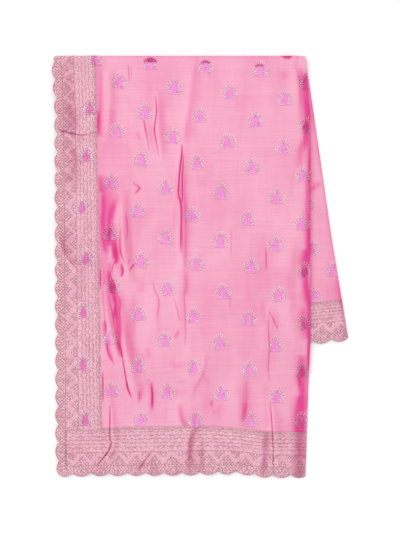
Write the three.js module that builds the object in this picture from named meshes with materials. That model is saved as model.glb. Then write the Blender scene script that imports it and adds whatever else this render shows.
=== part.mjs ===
// A saree, folded lengthwise to a strip and then folded once over its top edge, lying on a flat surface.
// Millimetres, +Z up. +Y points to the top fold, +X to the side where the back leaf swings out.
// The origin is the centre of the base. The front leaf lies on the back leaf, which is shorter.
import * as THREE from "three";

// ---- Driving dimensions ----
const HALF_LENGTH = 338; // from the origin to the top fold, and to the hem's scallop tips
const CLOTH = 1.2; // wall of a shown cloth
const STACK = 5.2; // hidden layers of one leaf
const GAP = 0.4; // between pieces that lie on each other
const SEAM = 0.3; // between pieces that are sewn edge to edge

// ---- Levels, worked out from the stack of cloths ----
const BACK_TOP = STACK + GAP + CLOTH; // the back leaf's shown face
const LIFT = BACK_TOP + GAP; // the front leaf's underside where it lies on the back leaf
const FRONT_TOP = LIFT + STACK + GAP + CLOTH;
const ROLL_RADIUS = FRONT_TOP / 2; // the top fold is a half round
const ROLL_Y = HALF_LENGTH - ROLL_RADIUS;
const ROLL_ARC = Math.PI * ROLL_RADIUS;

// ---- Plan of the front leaf ----
const SCALLOP = { pitch: 29, depth: 6, corner: 24 }; // corner: half the length of the corner's lobe
const CORNER_RADIUS = 20; // the scallop tips' line turns the lower left corner
const DROOP = { reach: 11, fall: 2.4 }; // the scalloped edges sink past the hidden layers
const LEFT_TIPS = [
  { y: -338, x: -232.5 },
  { y: 250, x: -233.5 },
  { y: 338, x: -239 },
];
const LEFT_SEAM = [
  { y: -338, x: -156 },
  { y: 338, x: -167 },
];
const RIGHT_FOLD = [
  { y: -338, x: 168 },
  { y: -262, x: 170.5 },
  { y: -117, x: 175.5 },
  { y: 245, x: 175.5 },
  { y: 338, x: 168 },
];
const HEM_SEAM = { y: -259, fall: 0.013 }; // the hem's upper seam runs down a little to the right

// ---- Plan of the back leaf ----
const BACK_FOLD = [
  { y: -118, x: 238 },
  { y: 338, x: 168 },
];
const BACK_SWING = 0.1535; // both sides of the back leaf lean this much to the right
const BACK_TIPS = { x: 238, y: -118, slope: 0.105 };
const BACK_BORDER = 66;
const BACK_FIELD_TOP = 322; // its shown cloth ends inside the top fold
const TUCK = 26; // how far the back leaf's shown cloth runs under the front leaf
const RAMP = 74; // the front leaf comes down to the surface over this length
const CLEAR = 2; // and starts this far past the back leaf's edge

// ---- The cloth's turn round the right fold of each leaf: a falling shoulder and then an arc ----
const WRAP = { width: 18, depth: 6.6, fall: 1.2 }; // fall: how far the shoulder comes down
const WRAP_RADIUS = (WRAP.depth - WRAP.fall) / 2;
const SHOULDER = WRAP.width - WRAP_RADIUS;
const WRAP_TURN = (150 * Math.PI) / 180;
const WRAP_END = SHOULDER + WRAP_RADIUS * WRAP_TURN; // length of cloth past the fold's start

// ---- Hidden layers ----
const INSET = { left: 14.5, hem: 15, backHem: 15 };
const LAYER = { folds: 4, nose: 1.4 }; // rounded folds that show at the edges
const FOLD_FILL = 0.72; // share of a side fold's width that the layers inside it reach
const UNDER_TURN = 18; // the layers' underside rises over this length to make room for a turned cloth
const ROLL_PIVOT = 4; // the two leaves' hidden layers join this far inside the top fold

// Largest folds of the front leaf: a ridge along each curve through three points.
const FOLDS = [
  { x0: -27, y0: 205, x1: -38, y1: 110, x2: -31, y2: 0, width: 7, height: 5 },
  { x0: -31, y0: 10, x1: -35, y1: -50, x2: -30, y2: -120, width: 9, height: 2 },
  { x0: -66, y0: 290, x1: -68, y1: 235, x2: -59, y2: 160, width: 7, height: 3.4 },
  { x0: -90, y0: 235, x1: -88, y1: 210, x2: -76, y2: 175, width: 7, height: 2.2 },
  { x0: -149, y0: 345, x1: -146, y1: 270, x2: -150, y2: 196, width: 8, height: 3.6 },
  { x0: -124, y0: 125, x1: -124, y1: 45, x2: -112, y2: -25, width: 8, height: 6 },
  { x0: -153, y0: 0, x1: -149, y1: -70, x2: -130, y2: -150, width: 7, height: 5.4 },
  { x0: -112, y0: -40, x1: -117, y1: -120, x2: -97, y2: -205, width: 9, height: 4.6 },
  { x0: -148, y0: -190, x1: -136, y1: -285, x2: -165, y2: -322, width: 6, height: 2.6 },
  { x0: -82, y0: -182, x1: -80, y1: -205, x2: -84, y2: -236, width: 7, height: 2.2 },
  { x0: 110, y0: -198, x1: 119, y1: -262, x2: 122, y2: -330, width: 7, height: 3 },
  { x0: 100, y0: -66, x1: 103, y1: -110, x2: 99, y2: -170, width: 12, height: 2.2 },
  { x0: 148, y0: 60, x1: 138, y1: -30, x2: 150, y2: -120, width: 12, height: 3.2 },
  { x0: 62, y0: -170, x1: 60, y1: -215, x2: 66, y2: -258, width: 11, height: 2.2 },
  { x0: -7, y0: 345, x1: -14, y1: 270, x2: -25, y2: 196, width: 9, height: 1.8 },
  { x0: -226, y0: 216, x1: -196, y1: 207, x2: -152, y2: 216, width: 6, height: 1.8 },
  { x0: -232, y0: 62, x1: -216, y1: 24, x2: -192, y2: -10, width: 7, height: 2.6 },
  { x0: -17, y0: -250, x1: -19, y1: -290, x2: -16, y2: -332, width: 8, height: 2.2 },
  { x0: 96, y0: -262, x1: 98, y1: -290, x2: 93, y2: -332, width: 7, height: 1.8 },
];
const FOLD_STEPS = 10;
const FOLD_TAPER = 0.7; // below 1, a fold keeps its height longer before its ends
const FOLD_FADE = { from: 300, to: 328 }; // folds flatten out towards the top fold
const RELIEF_DEPTH = 2; // the relief dies out this far down a side fold
const FOLD_SQUEEZE = 0.3; // the right fold is this much shallower in the top fold

const { clamp, lerp, smoothstep } = THREE.MathUtils;

// ---- Plan curves ----

// x of an edge at y, between the rows of its table.
function edgeX(table, y) {
  const first = table[0];
  if (y <= first.y) return first.x;
  for (let i = 1; i < table.length; i++) {
    const low = table[i - 1];
    const high = table[i];
    if (y <= high.y) return lerp(low.x, high.x, (y - low.y) / (high.y - low.y));
  }
  return table[table.length - 1].x;
}

const HEM_CORNER = edgeX(LEFT_SEAM, HEM_SEAM.y); // x of the body cloth's lower left corner
const hemSeamY = (x) => HEM_SEAM.y - HEM_SEAM.fall * Math.max(0, x - HEM_CORNER);
const backTipsY = (x) => BACK_TIPS.y + BACK_TIPS.slope * (x - BACK_TIPS.x);

// How far a scalloped edge is cut back from its tips' line, at a number of lobes along it.
function scallopInset(lobes) {
  const across = 2 * (lobes - Math.floor(lobes)) - 1; // -1 to 1 over one lobe
  return SCALLOP.depth * across * across;
}

// Lobes of the front leaf's edge, where along is 0 in the middle of the lower left corner.
function frontLobes(along) {
  const past = Math.abs(along) - SCALLOP.corner;
  return past < 0 ? 0.5 + along / (2 * SCALLOP.corner) : past / SCALLOP.pitch;
}

// The scalloped edge of the front leaf. along runs up the left side below 0 and along the hem above 0.
const HALF_ARC = (Math.PI / 4) * CORNER_RADIUS;

function scallopedEdge(along) {
  const straight = Math.max(0, Math.abs(along) - HALF_ARC);
  const turn = Math.PI / 4 - Math.min(Math.abs(along), HALF_ARC) / CORNER_RADIUS; // from the nearer straight
  const reach = CORNER_RADIUS - scallopInset(frontLobes(along));
  const inwards = CORNER_RADIUS - reach * Math.cos(turn);
  const forwards = CORNER_RADIUS - reach * Math.sin(turn) + straight;
  if (along < 0) {
    const y = -HALF_LENGTH + forwards;
    return { x: edgeX(LEFT_TIPS, y) + inwards, y };
  }
  return { x: edgeX(LEFT_TIPS, -HALF_LENGTH) + forwards, y: -HALF_LENGTH + inwards };
}

// ---- Relief ----

function foldCurve(fold) {
  const a = new THREE.Vector3(fold.x0, fold.y0, 0);
  const b = new THREE.Vector3(fold.x1, fold.y1, 0);
  const c = new THREE.Vector3(fold.x2, fold.y2, 0);
  return new THREE.CatmullRomCurve3([a, b, c]).getPoints(FOLD_STEPS);
}

const foldCurves = FOLDS.map((fold) => ({ ...fold, points: foldCurve(fold) }));

// Height of one ridge at a place: a rounded section that tapers to both ends.
function ridge(fold, place) {
  let best = Infinity;
  let along = 0;
  const nearest = new THREE.Vector3();
  for (let i = 0; i < FOLD_STEPS; i++) {
    const stretch = new THREE.Line3(fold.points[i], fold.points[i + 1]);
    const t = stretch.closestPointToPointParameter(place, true);
    const far = stretch.at(t, nearest).distanceTo(place);
    if (far < best) {
      best = far;
      along = (i + t) / FOLD_STEPS;
    }
  }
  const taper = Math.sin(Math.PI * along) ** FOLD_TAPER;
  return fold.height * taper * Math.exp(-((best / fold.width) ** 2));
}

function relief(x, y) {
  const place = new THREE.Vector3(x, y, 0);
  const height = foldCurves.reduce((sum, fold) => sum + ridge(fold, place), 0);
  return height * (1 - smoothstep(y, FOLD_FADE.from, FOLD_FADE.to));
}

const backLeft = (y) => edgeX(LEFT_TIPS, ROLL_Y) + BACK_SWING * (ROLL_Y - y);

// How far the front leaf has come down, past the back leaf's lower and left edges.
function descent(x, y) {
  const below = Math.max(0, backTipsY(Math.min(x, BACK_TIPS.x)) - CLEAR - y);
  const beside = Math.max(0, backLeft(y) - CLEAR - x);
  return LIFT * smoothstep(Math.hypot(below, beside), 0, RAMP);
}

// ---- Shown faces of the cloth ----

// A length p across a leaf, turned round its side fold.
function roundFold(p, edge) {
  const past = p - (edge - WRAP.width);
  if (past <= 0) return { x: p, depth: 0 };
  if (past <= SHOULDER) return { x: p, depth: WRAP.fall * (past / SHOULDER) ** 2 };
  const turn = (past - SHOULDER) / WRAP_RADIUS;
  const x = edge - WRAP_RADIUS * (1 - Math.sin(turn));
  return { x, depth: WRAP.fall + WRAP_RADIUS * (1 - Math.cos(turn)) };
}

const edgeDroop = (toEdge) => DROOP.fall * (1 - smoothstep(toEdge, 0, DROOP.reach));

// A point of the front leaf, depth below its outer face. q is y until the top fold and then runs on round it.
function inFront(x, q, depth) {
  if (q <= ROLL_Y) {
    const folds = relief(x, q) * clamp(1 - depth / RELIEF_DEPTH, 0, 1);
    return new THREE.Vector3(x, q, FRONT_TOP - depth + folds - descent(x, q));
  }
  const turn = (q - ROLL_Y) / ROLL_RADIUS;
  const radius = ROLL_RADIUS - depth;
  return new THREE.Vector3(x, ROLL_Y + radius * Math.sin(turn), ROLL_RADIUS + radius * Math.cos(turn));
}

function frontFace(p, q) {
  const y = Math.min(q, ROLL_Y);
  const { x, depth } = roundFold(p, edgeX(RIGHT_FOLD, y));
  const toEdge = Math.min(x - edgeX(LEFT_TIPS, y), y + HALF_LENGTH);
  const droop = edgeDroop(toEdge) * (1 - depth / WRAP.depth);
  const shallower = 1 - FOLD_SQUEEZE * smoothstep(q, FOLD_FADE.from, ROLL_Y);
  return inFront(x, q, depth * shallower + droop);
}

function backFace(p, q) {
  const { x, depth } = roundFold(p, edgeX(BACK_FOLD, q));
  const toEdge = q - backTipsY(x);
  const droop = edgeDroop(toEdge) * (1 - depth / WRAP.depth);
  return new THREE.Vector3(x, q, BACK_TOP - depth - droop);
}

// ---- Solids ----

// A closed solid over a grid with three axes, a, b and c, that are right-handed in space.
function brick(na, nb, nc, place) {
  const index = new Map();
  const positions = [];
  const triangles = [];
  const vertex = (a, b, c) => {
    const key = (a * (nb + 1) + b) * (nc + 1) + c;
    if (!index.has(key)) {
      index.set(key, positions.length / 3);
      positions.push(...place(a, b, c).toArray());
    }
    return index.get(key);
  };
  const quad = (p, q, r, s) => triangles.push(p, q, r, p, r, s);
  const face = (n, m, at) => {
    for (let i = 0; i < n; i++) {
      for (let j = 0; j < m; j++) quad(at(i, j), at(i + 1, j), at(i + 1, j + 1), at(i, j + 1));
    }
  };
  face(na, nb, (a, b) => vertex(a, b, nc));
  face(nb, na, (b, a) => vertex(a, b, 0));
  face(nb, nc, (b, c) => vertex(na, b, c));
  face(nc, nb, (c, b) => vertex(0, b, c));
  face(nc, na, (c, a) => vertex(a, nb, c));
  face(na, nc, (a, c) => vertex(a, 0, c));
  const geometry = new THREE.BufferGeometry();
  geometry.setAttribute("position", new THREE.Float32BufferAttribute(positions, 3));
  geometry.setIndex(triangles);
  geometry.computeVertexNormals();
  return geometry;
}

// A wall of cloth under a face. at(a, b) gives the face's two coordinates for a grid line.
function clothWall(na, nb, face, at) {
  const step = 0.4;
  return brick(na, nb, 1, (a, b, c) => {
    const { p, q } = at(a, b);
    const point = face(p, q);
    if (c === 1) return point;
    const alongP = face(p + step, q).sub(face(p - step, q));
    const alongQ = face(p, q + step).sub(face(p, q - step));
    return point.addScaledVector(alongP.cross(alongQ).normalize(), -CLOTH);
  });
}

// Grid lines: from, to and a number of steps for each stretch.
function lines(...stretches) {
  const made = [stretches[0].from];
  for (const { from, to, steps } of stretches) {
    for (let i = 1; i <= steps; i++) made.push(lerp(from, to, i / steps));
  }
  return made;
}

const ARC_STEPS = 6;
const WRAP_LINES = lines({ from: 0, to: SHOULDER, steps: 3 }, { from: SHOULDER, to: WRAP_END, steps: ARC_STEPS });
const WRAP_STEPS = WRAP_LINES.length - 1;
const ROLL_STEPS = 8;

// ---- The pieces ----

function frontField() {
  const across = lines({ from: 0, to: 0.42, steps: 17 }, { from: 0.42, to: 1, steps: 12 });
  const up = lines({ from: 0, to: 1, steps: 32 });
  const flat = across.length - 1;
  const rows = up.length - 1;
  return clothWall(flat + WRAP_STEPS, rows + ROLL_STEPS, frontFace, (a, b) => {
    const round = Math.max(0, b - rows) / ROLL_STEPS;
    const place = up[Math.min(b, rows)];
    const level = lerp(HEM_SEAM.y, ROLL_Y, place);
    const fold = edgeX(RIGHT_FOLD, level) - WRAP.width;
    const left = edgeX(LEFT_SEAM, level) + SEAM / 2;
    const p = lerp(left, fold, across[Math.min(a, flat)]) + WRAP_LINES[Math.max(0, a - flat)];
    const q = lerp(hemSeamY(Math.min(p, fold)) + SEAM / 2, ROLL_Y, place) + round * ROLL_ARC;
    return { p, q };
  });
}

const BORDER_LINES = [0, 0.16, 0.42, 0.7, 1]; // across a border, from the scallops to the seam
const BORDER_COLUMNS = BORDER_LINES.length - 1;
const LOBE_STEPS = 6;
const FAN_RADIUS = 2; // the hem's grid lines fan out from here to the left edge
const CORNER_BLEND = 130; // and turn upright over this length of the hem

// Length along the scalloped edge from the middle of the corner up to y on the left side.
const sideLength = (y) => HALF_ARC + y + HALF_LENGTH - CORNER_RADIUS;
const hemLength = (x) => HALF_ARC + x - edgeX(LEFT_TIPS, -HALF_LENGTH) - CORNER_RADIUS;

// Places along the scalloped edge between two lengths, with its notches among them.
function edgePlaces(start, end) {
  const stops = [start];
  const first = Math.floor(start / SCALLOP.pitch);
  for (let n = first; n * SCALLOP.pitch < end; n++) {
    const notch = Math.sign(n) * (SCALLOP.corner + (Math.abs(n) - 1) * SCALLOP.pitch);
    if (n !== 0 && notch > start + 1 && notch < end - 1) stops.push(notch);
  }
  stops.push(end);
  const stretches = stops.slice(1).map((to, i) => {
    const from = stops[i];
    return { from, to, steps: Math.max(1, Math.round(((to - from) / SCALLOP.pitch) * LOBE_STEPS)) };
  });
  return lines(...stretches);
}

// Left border, from the hem's seam to the underside of the top fold.
function endBorder() {
  const places = edgePlaces(sideLength(HEM_SEAM.y + SEAM / 2), sideLength(ROLL_Y));
  const rows = places.length - 1;
  return clothWall(BORDER_COLUMNS, rows + ROLL_STEPS, frontFace, (a, b) => {
    const round = (Math.max(0, b - rows) / ROLL_STEPS) * ROLL_ARC;
    const outer = scallopedEdge(-places[Math.min(b, rows)]);
    const seam = edgeX(LEFT_SEAM, outer.y) - SEAM / 2;
    return { p: lerp(outer.x, seam, BORDER_LINES[a]), q: outer.y + round };
  });
}

// Lower border, with the lower left corner, to the right fold and round it.
function frontHem() {
  const start = -sideLength(HEM_SEAM.y - SEAM / 2);
  const fold = hemLength(edgeX(RIGHT_FOLD, -HALF_LENGTH) - WRAP.width);
  const arc = lines({ from: fold + SHOULDER, to: fold + WRAP_END, steps: ARC_STEPS });
  const places = [...edgePlaces(start, fold + SHOULDER), ...arc.slice(1)];
  const turned = scallopedEdge(0).x;

  // The seam's point that the grid line from a place on the scallops runs to.
  function seamPoint(along) {
    if (along <= 0) {
      const turn = (Math.PI / 4) * (1 - along / start);
      const q = HEM_SEAM.y - SEAM / 2 - FAN_RADIUS * Math.sin(turn);
      return { p: HEM_CORNER - FAN_RADIUS * Math.cos(turn), q };
    }
    const upright = turned + CORNER_BLEND;
    const x = scallopedEdge(along).x;
    const p = x < upright ? lerp(HEM_CORNER, upright, (x - turned) / CORNER_BLEND) : x;
    return { p, q: hemSeamY(p) - SEAM / 2 };
  }

  return clothWall(places.length - 1, BORDER_COLUMNS, frontFace, (a, b) => {
    const outer = scallopedEdge(places[a]);
    const seam = seamPoint(places[a]);
    return { p: lerp(outer.x, seam.p, BORDER_LINES[b]), q: lerp(outer.y, seam.q, BORDER_LINES[b]) };
  });
}

// The back leaf's grid: columns from under the front leaf to its right fold and round it.
const BACK_COLUMNS = 14;

function backColumn(a, q) {
  const left = edgeX(RIGHT_FOLD, q) - TUCK;
  const fold = edgeX(BACK_FOLD, q) - WRAP.width;
  return lerp(left, fold, Math.min(a, BACK_COLUMNS) / BACK_COLUMNS) + WRAP_LINES[Math.max(0, a - BACK_COLUMNS)];
}

// The point of a column that lies a height above the line of the back leaf's scallop tips.
function backPoint(a, height) {
  let q = BACK_TIPS.y + height;
  for (let i = 0; i < 3; i++) q = backTipsY(backColumn(a, q)) + height;
  return { p: backColumn(a, q), q };
}

function backField() {
  const rows = 14;
  return clothWall(BACK_COLUMNS + WRAP_STEPS, rows, backFace, (a, b) => {
    const q = lerp(backPoint(a, BACK_BORDER + SEAM / 2).q, BACK_FIELD_TOP, b / rows);
    return { p: backColumn(a, q), q };
  });
}

function backHem() {
  return clothWall(BACK_COLUMNS + WRAP_STEPS, BORDER_COLUMNS, backFace, (a, b) => {
    const share = BORDER_LINES[b];
    const { p, q } = backPoint(a, share * (BACK_BORDER - SEAM / 2));
    return { p, q: q + scallopInset((p - BACK_TIPS.x) / SCALLOP.pitch) * (1 - share) };
  });
}

// The hidden layers of both leaves in one solid: a thick strip that turns at the top fold.
// Its edges are rounded and grooved, as a stack of folds is. inner faces the other leaf.
const LAYER_LEVELS = LAYER.folds * 2;
const LAYER_ACROSS = lines(
  { from: 0, to: 0.18, steps: 5 },
  { from: 0.18, to: 0.95, steps: 5 },
  { from: 0.95, to: 1, steps: 2 },
);
const FRONT_PLACES = lines(
  { from: 0, to: 0.12, steps: 2 },
  { from: 0.12, to: 0.34, steps: 11 },
  { from: 0.34, to: 1, steps: 12 },
);
const BACK_PLACES = lines({ from: 0, to: 0.06, steps: 3 }, { from: 0.06, to: 1, steps: 12 });
const FRONT_ROWS = FRONT_PLACES.length - 1;
const BACK_ROWS = BACK_PLACES.length - 1;
const INNER_ROLL_Y = ROLL_Y - ROLL_PIVOT;
const TURN_ROOM = CLOTH + 2 * GAP; // for a cloth that is turned under the layers

const frontEnd = (y) => edgeX(RIGHT_FOLD, y) - WRAP.width;
const backEnd = (y) => edgeX(BACK_FOLD, y) - WRAP.width;

function layersInFront(place, u) {
  const hem = -HALF_LENGTH + INSET.hem;
  const y = lerp(hem, ROLL_Y, place);
  const innerY = lerp(hem, INNER_ROLL_Y, place);
  const x = lerp(edgeX(LEFT_TIPS, y) + INSET.left, frontEnd(y), u);
  const rise = TURN_ROOM * smoothstep(x, frontEnd(y) - UNDER_TURN, frontEnd(y));
  return {
    inner: new THREE.Vector3(x, innerY, LIFT - descent(x, innerY) + rise),
    outer: new THREE.Vector3(x, y, LIFT - descent(x, y) + STACK),
  };
}

function layersInRoll(share, u) {
  const turn = Math.PI * share;
  const radius = ROLL_RADIUS - CLOTH - GAP;
  const x = lerp(edgeX(LEFT_TIPS, ROLL_Y) + INSET.left, frontEnd(ROLL_Y), u);
  const y = ROLL_Y + radius * Math.sin(turn);
  return {
    inner: new THREE.Vector3(x, INNER_ROLL_Y, lerp(LIFT, STACK, share)),
    outer: new THREE.Vector3(x, y, ROLL_RADIUS + radius * Math.cos(turn)),
  };
}

function layersInBack(place, u) {
  const end = backTipsY(lerp(backLeft(BACK_TIPS.y), BACK_TIPS.x, u)) + INSET.backHem;
  const y = lerp(ROLL_Y, end, place);
  const x = lerp(backLeft(y) + INSET.left, backEnd(y), u);
  const underRoll = smoothstep(y, ROLL_Y - 2 * UNDER_TURN, ROLL_Y - UNDER_TURN);
  const underFold = smoothstep(x, backEnd(y) - UNDER_TURN, backEnd(y));
  return {
    inner: new THREE.Vector3(x, lerp(INNER_ROLL_Y, end, place), STACK),
    outer: new THREE.Vector3(x, y, TURN_ROOM * Math.max(underRoll, underFold)),
  };
}

function layersAt(row, u) {
  if (row <= FRONT_ROWS) return layersInFront(FRONT_PLACES[row], u);
  if (row <= FRONT_ROWS + ROLL_STEPS) return layersInRoll((row - FRONT_ROWS) / ROLL_STEPS, u);
  return layersInBack(BACK_PLACES[row - FRONT_ROWS - ROLL_STEPS], u);
}

function foldedLayers() {
  const rows = FRONT_ROWS + ROLL_STEPS + BACK_ROWS;
  const columns = LAYER_ACROSS.length - 1;
  return brick(columns, rows, LAYER_LEVELS, (a, b, c) => {
    const { inner, outer } = layersAt(b, LAYER_ACROSS[a]);
    const point = inner.lerp(outer, c / LAYER_LEVELS);
    const nose = c % 2 === 1 ? LAYER.nose : 0;
    if (a === 0) point.x -= nose;
    if (b === 0 || b === rows) point.y -= nose;
    if (a === columns) {
      const round = Math.sqrt(1 - (2 * (c / LAYER_LEVELS) - 1) ** 2);
      const closed = 1 - smoothstep(point.y, FOLD_FADE.from, ROLL_Y - WRAP.width);
      point.x += round * closed * (FOLD_FILL * WRAP.width - LAYER.nose + nose);
    }
    return point;
  });
}

// ---- Materials and the group ----

const FIELD = new THREE.MeshStandardMaterial({ color: 0xf6a5c6, roughness: 0.5, metalness: 0 });
const BORDER = new THREE.MeshStandardMaterial({ color: 0xd9a6b7, roughness: 0.6, metalness: 0.1 });
const LAYERS = new THREE.MeshStandardMaterial({ color: 0xee8fb8, roughness: 0.6, metalness: 0 });

const saree = new THREE.Group();
saree.name = "saree";

function addPiece(name, geometry, material) {
  const mesh = new THREE.Mesh(geometry, material);
  mesh.name = name;
  saree.add(mesh);
}

addPiece("front_field", frontField(), FIELD);
addPiece("end_border", endBorder(), BORDER);
addPiece("front_hem_border", frontHem(), BORDER);
addPiece("back_field", backField(), FIELD);
addPiece("back_hem_border", backHem(), BORDER);
addPiece("folded_layers", foldedLayers(), LAYERS);

export default saree;
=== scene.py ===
"""A pink silk saree, folded lengthwise and then once over its top edge, lying flat.

The form is worked out in millimetres, in the same frame as the solids: +X to the right, +Y to the top fold
and +Z up. A place on a cloth has two flat coordinates: p across the leaf and q along it. front_face and
back_face turn them into space, so the cloth, its thread work and its sequins all lie on the same surface.
"""

import math
from collections import namedtuple

import bpy
import numpy as np
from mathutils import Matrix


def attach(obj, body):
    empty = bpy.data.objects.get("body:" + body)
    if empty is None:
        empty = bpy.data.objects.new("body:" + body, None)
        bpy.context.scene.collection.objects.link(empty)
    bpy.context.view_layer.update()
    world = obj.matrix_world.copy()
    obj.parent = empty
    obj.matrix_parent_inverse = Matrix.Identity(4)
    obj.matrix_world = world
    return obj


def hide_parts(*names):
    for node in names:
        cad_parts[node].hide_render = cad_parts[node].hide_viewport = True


MM = 0.001
BODY = "root"

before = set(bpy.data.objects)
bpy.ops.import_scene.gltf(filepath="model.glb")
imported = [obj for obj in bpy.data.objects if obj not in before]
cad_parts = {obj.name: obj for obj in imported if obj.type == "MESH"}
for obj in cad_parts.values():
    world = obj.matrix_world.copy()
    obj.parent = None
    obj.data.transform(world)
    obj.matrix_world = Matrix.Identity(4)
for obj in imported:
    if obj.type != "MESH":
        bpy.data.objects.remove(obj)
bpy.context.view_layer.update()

# ---------------------------------------------------------------- driving dimensions, as in the solids

HALF_LENGTH = 338  # from the origin to the top fold, and to the hem's scallop tips
CLOTH = 0.6  # thickness of a shown cloth
WALL = 1.2  # thickness that the solids give it, which sets the levels
STACK = 5.2  # hidden layers of one leaf
GAP = 0.4  # between the layers and the shown cloth
SEAM = 0.06  # between pieces sewn edge to edge

BACK_TOP = STACK + GAP + WALL
LIFT = BACK_TOP + GAP
FRONT_TOP = LIFT + STACK + GAP + WALL
ROLL_RADIUS = FRONT_TOP / 2
ROLL_Y = HALF_LENGTH - ROLL_RADIUS
ROLL_ARC = math.pi * ROLL_RADIUS

SCALLOP_PITCH = 29
SCALLOP_DEPTH = 6
CORNER_LOBE = 24  # half the length of the corner's lobe
CORNER_RADIUS = 20
HALF_ARC = math.pi / 4 * CORNER_RADIUS
DROOP_REACH = 11
DROOP_FALL = 2.4

# Edges as rows of (y, x).
LEFT_TIPS = [(-338, -232.5), (250, -233.5), (338, -239)]
LEFT_SEAM = [(-338, -156), (338, -167)]
RIGHT_FOLD = [(-338, 168), (-262, 170.5), (-117, 175.5), (245, 175.5), (338, 168)]
BACK_FOLD = [(-118, 237.5), (43, 210.5), (203, 187.5), (338, 168)]
# How far the hem's scallop tips rise above the straight line, as rows of (x, rise).
HEM_RISE = [(-221, 0), (-180, 3), (-20, 4), (20, 5.5), (65, 6.5), (84, 2.5), (108, 0)]
HEM_SEAM_Y = -259
HEM_SEAM_FALL = 0.013
# How far the seam above the hem rises with it, as rows of (x, rise).
SEAM_RISE = [
    (-161, 0), (-125, 2.6), (-70, 4), (-25, 6), (10, 6.2), (40, 4.5), (75, 1.5), (105, -1), (170, -1.6),
]

BACK_SWING = 0.1535  # how far the back leaf swings to the right for each millimetre down
BACK_TIPS_X = 238  # the right end of the line of the back leaf's scallop tips
BACK_TIPS_Y = -118
BACK_TIPS_SLOPE = 0.105
BACK_BORDER = 66
BACK_FIELD_TOP = 322
TUCK = 26  # how far the back leaf's cloth runs on under the front leaf
RAMP = 74  # length over which the front leaf comes down past the back leaf
CLEAR = 2  # from the back leaf to where that starts

# A side fold: the cloth falls a little over a shoulder and then turns round a radius.
WRAP_WIDTH = 18
WRAP_DEPTH = 6.6
WRAP_FALL = 1.2
WRAP_RADIUS = (WRAP_DEPTH - WRAP_FALL) / 2
SHOULDER = WRAP_WIDTH - WRAP_RADIUS
WRAP_END = SHOULDER + WRAP_RADIUS * math.radians(150)
WRAP_WORKED = SHOULDER + WRAP_RADIUS * math.radians(95)  # thread work stops here
ROLL_WORKED = ROLL_ARC * 0.55  # and here, just past the outermost line of the top fold

INSET_LEFT = 14.5  # from the shown cloth's edges to the hidden layers
INSET_HEM = 15
LAYER_NOSE = 1.4  # how far the rounded edge of each layer stands out
FOLD_FILL = 0.72  # share of a side fold's width that the layers fill
UNDER_TURN = 18  # length over which they make room for the cloth that turns under them
TURN_ROOM = WALL + 2 * GAP
ROLL_PIVOT = 4  # from the top fold's axis to where the innermost layers turn
FOLD_FADE = (300, 328)  # towards the top fold, creases die out between these heights
RELIEF_DEPTH = 2  # and on a side fold this far down
FOLD_SQUEEZE = 0.3  # share of a side fold's depth that is lost at the top fold
SLIT_SINK = 0.9  # depth of a closed crease

# A soft ridge, or painted shade along a smooth line (painted highlight where its amount is below 0).
# Lines run downwards or to the right; west and east are how far it reaches to the left and right of a line
# that runs down.
Stroke = namedtuple("Stroke", "points west east amount")


def stroke_table(*rows):
    return [Stroke(*row) for row in rows]


# Soft folds, by their height in millimetres.
RIDGES = stroke_table(
    # the long double crease in the middle
    ([(-28, 200), (-34, 157), (-35, 118), (-31, 90), (-31, 30), (-30, -10)], 5, 9, 4.6),
    ([(-31, 10), (-35, -50), (-30, -120)], 9, 9, 2.0),
    # short creases at its left
    ([(-68, 285), (-68, 235), (-61, 165)], 5, 8, 3.4),
    ([(-90, 232), (-84, 205), (-76, 180)], 5, 8, 2.2),
    # the gathers beside the border
    ([(-149, 345), (-146, 270), (-150, 196)], 6, 9, 3.6),
    ([(-124, 125), (-123, 45), (-112, -25)], 6, 9, 6.0),
    ([(-138, 60), (-140, 20), (-133, -12)], 4, 6, 2.4),
    ([(-153, 0), (-149, -70), (-130, -150)], 6, 8, 5.4),
    ([(-112, -40), (-117, -120), (-97, -205)], 9, 9, 4.6),
    ([(-141, -24), (-127, -60), (-124, -116), (-112, -175), (-104, -204)], 4, 7, 2.6),
    ([(-148, -190), (-140, -285), (-165, -322)], 6, 6, 2.6),
    ([(-82, -182), (-80, -205), (-84, -236)], 7, 7, 2.2),
    # the hem and the right half
    ([(110, -198), (119, -262), (122, -330)], 6, 8, 3.0),
    ([(100, -66), (103, -110), (99, -170)], 12, 12, 2.2),
    ([(108, -62), (116, -82), (124, -98)], 6, 8, 1.6),
    ([(148, 60), (138, -30), (150, -120)], 12, 12, 3.2),
    ([(62, -170), (60, -215), (66, -258)], 11, 11, 2.2),
    ([(-7, 345), (-14, 270), (-25, 196)], 9, 9, 1.8),
    ([(-226, 216), (-196, 207), (-152, 216)], 6, 6, 1.8),
    ([(-232, 62), (-216, 24), (-192, -10)], 7, 7, 2.6),
    ([(-17, -250), (-19, -290), (-16, -332)], 8, 8, 2.2),
    ([(96, -262), (98, -290), (93, -332)], 7, 7, 1.8),
    ([(-74, -292), (-84, -308), (-96, -324)], 6, 6, 1.8),
    ([(7, -130), (9, -160), (6, -192)], 9, 9, 1.0),
    ([(48, 74), (50, 40), (47, 6)], 10, 12, 1.0),
    ([(108, 292), (111, 250), (107, 205)], 10, 12, 1.2),
    ([(46, -44), (47, -60), (45, -76)], 7, 8, 0.9),
)
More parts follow.
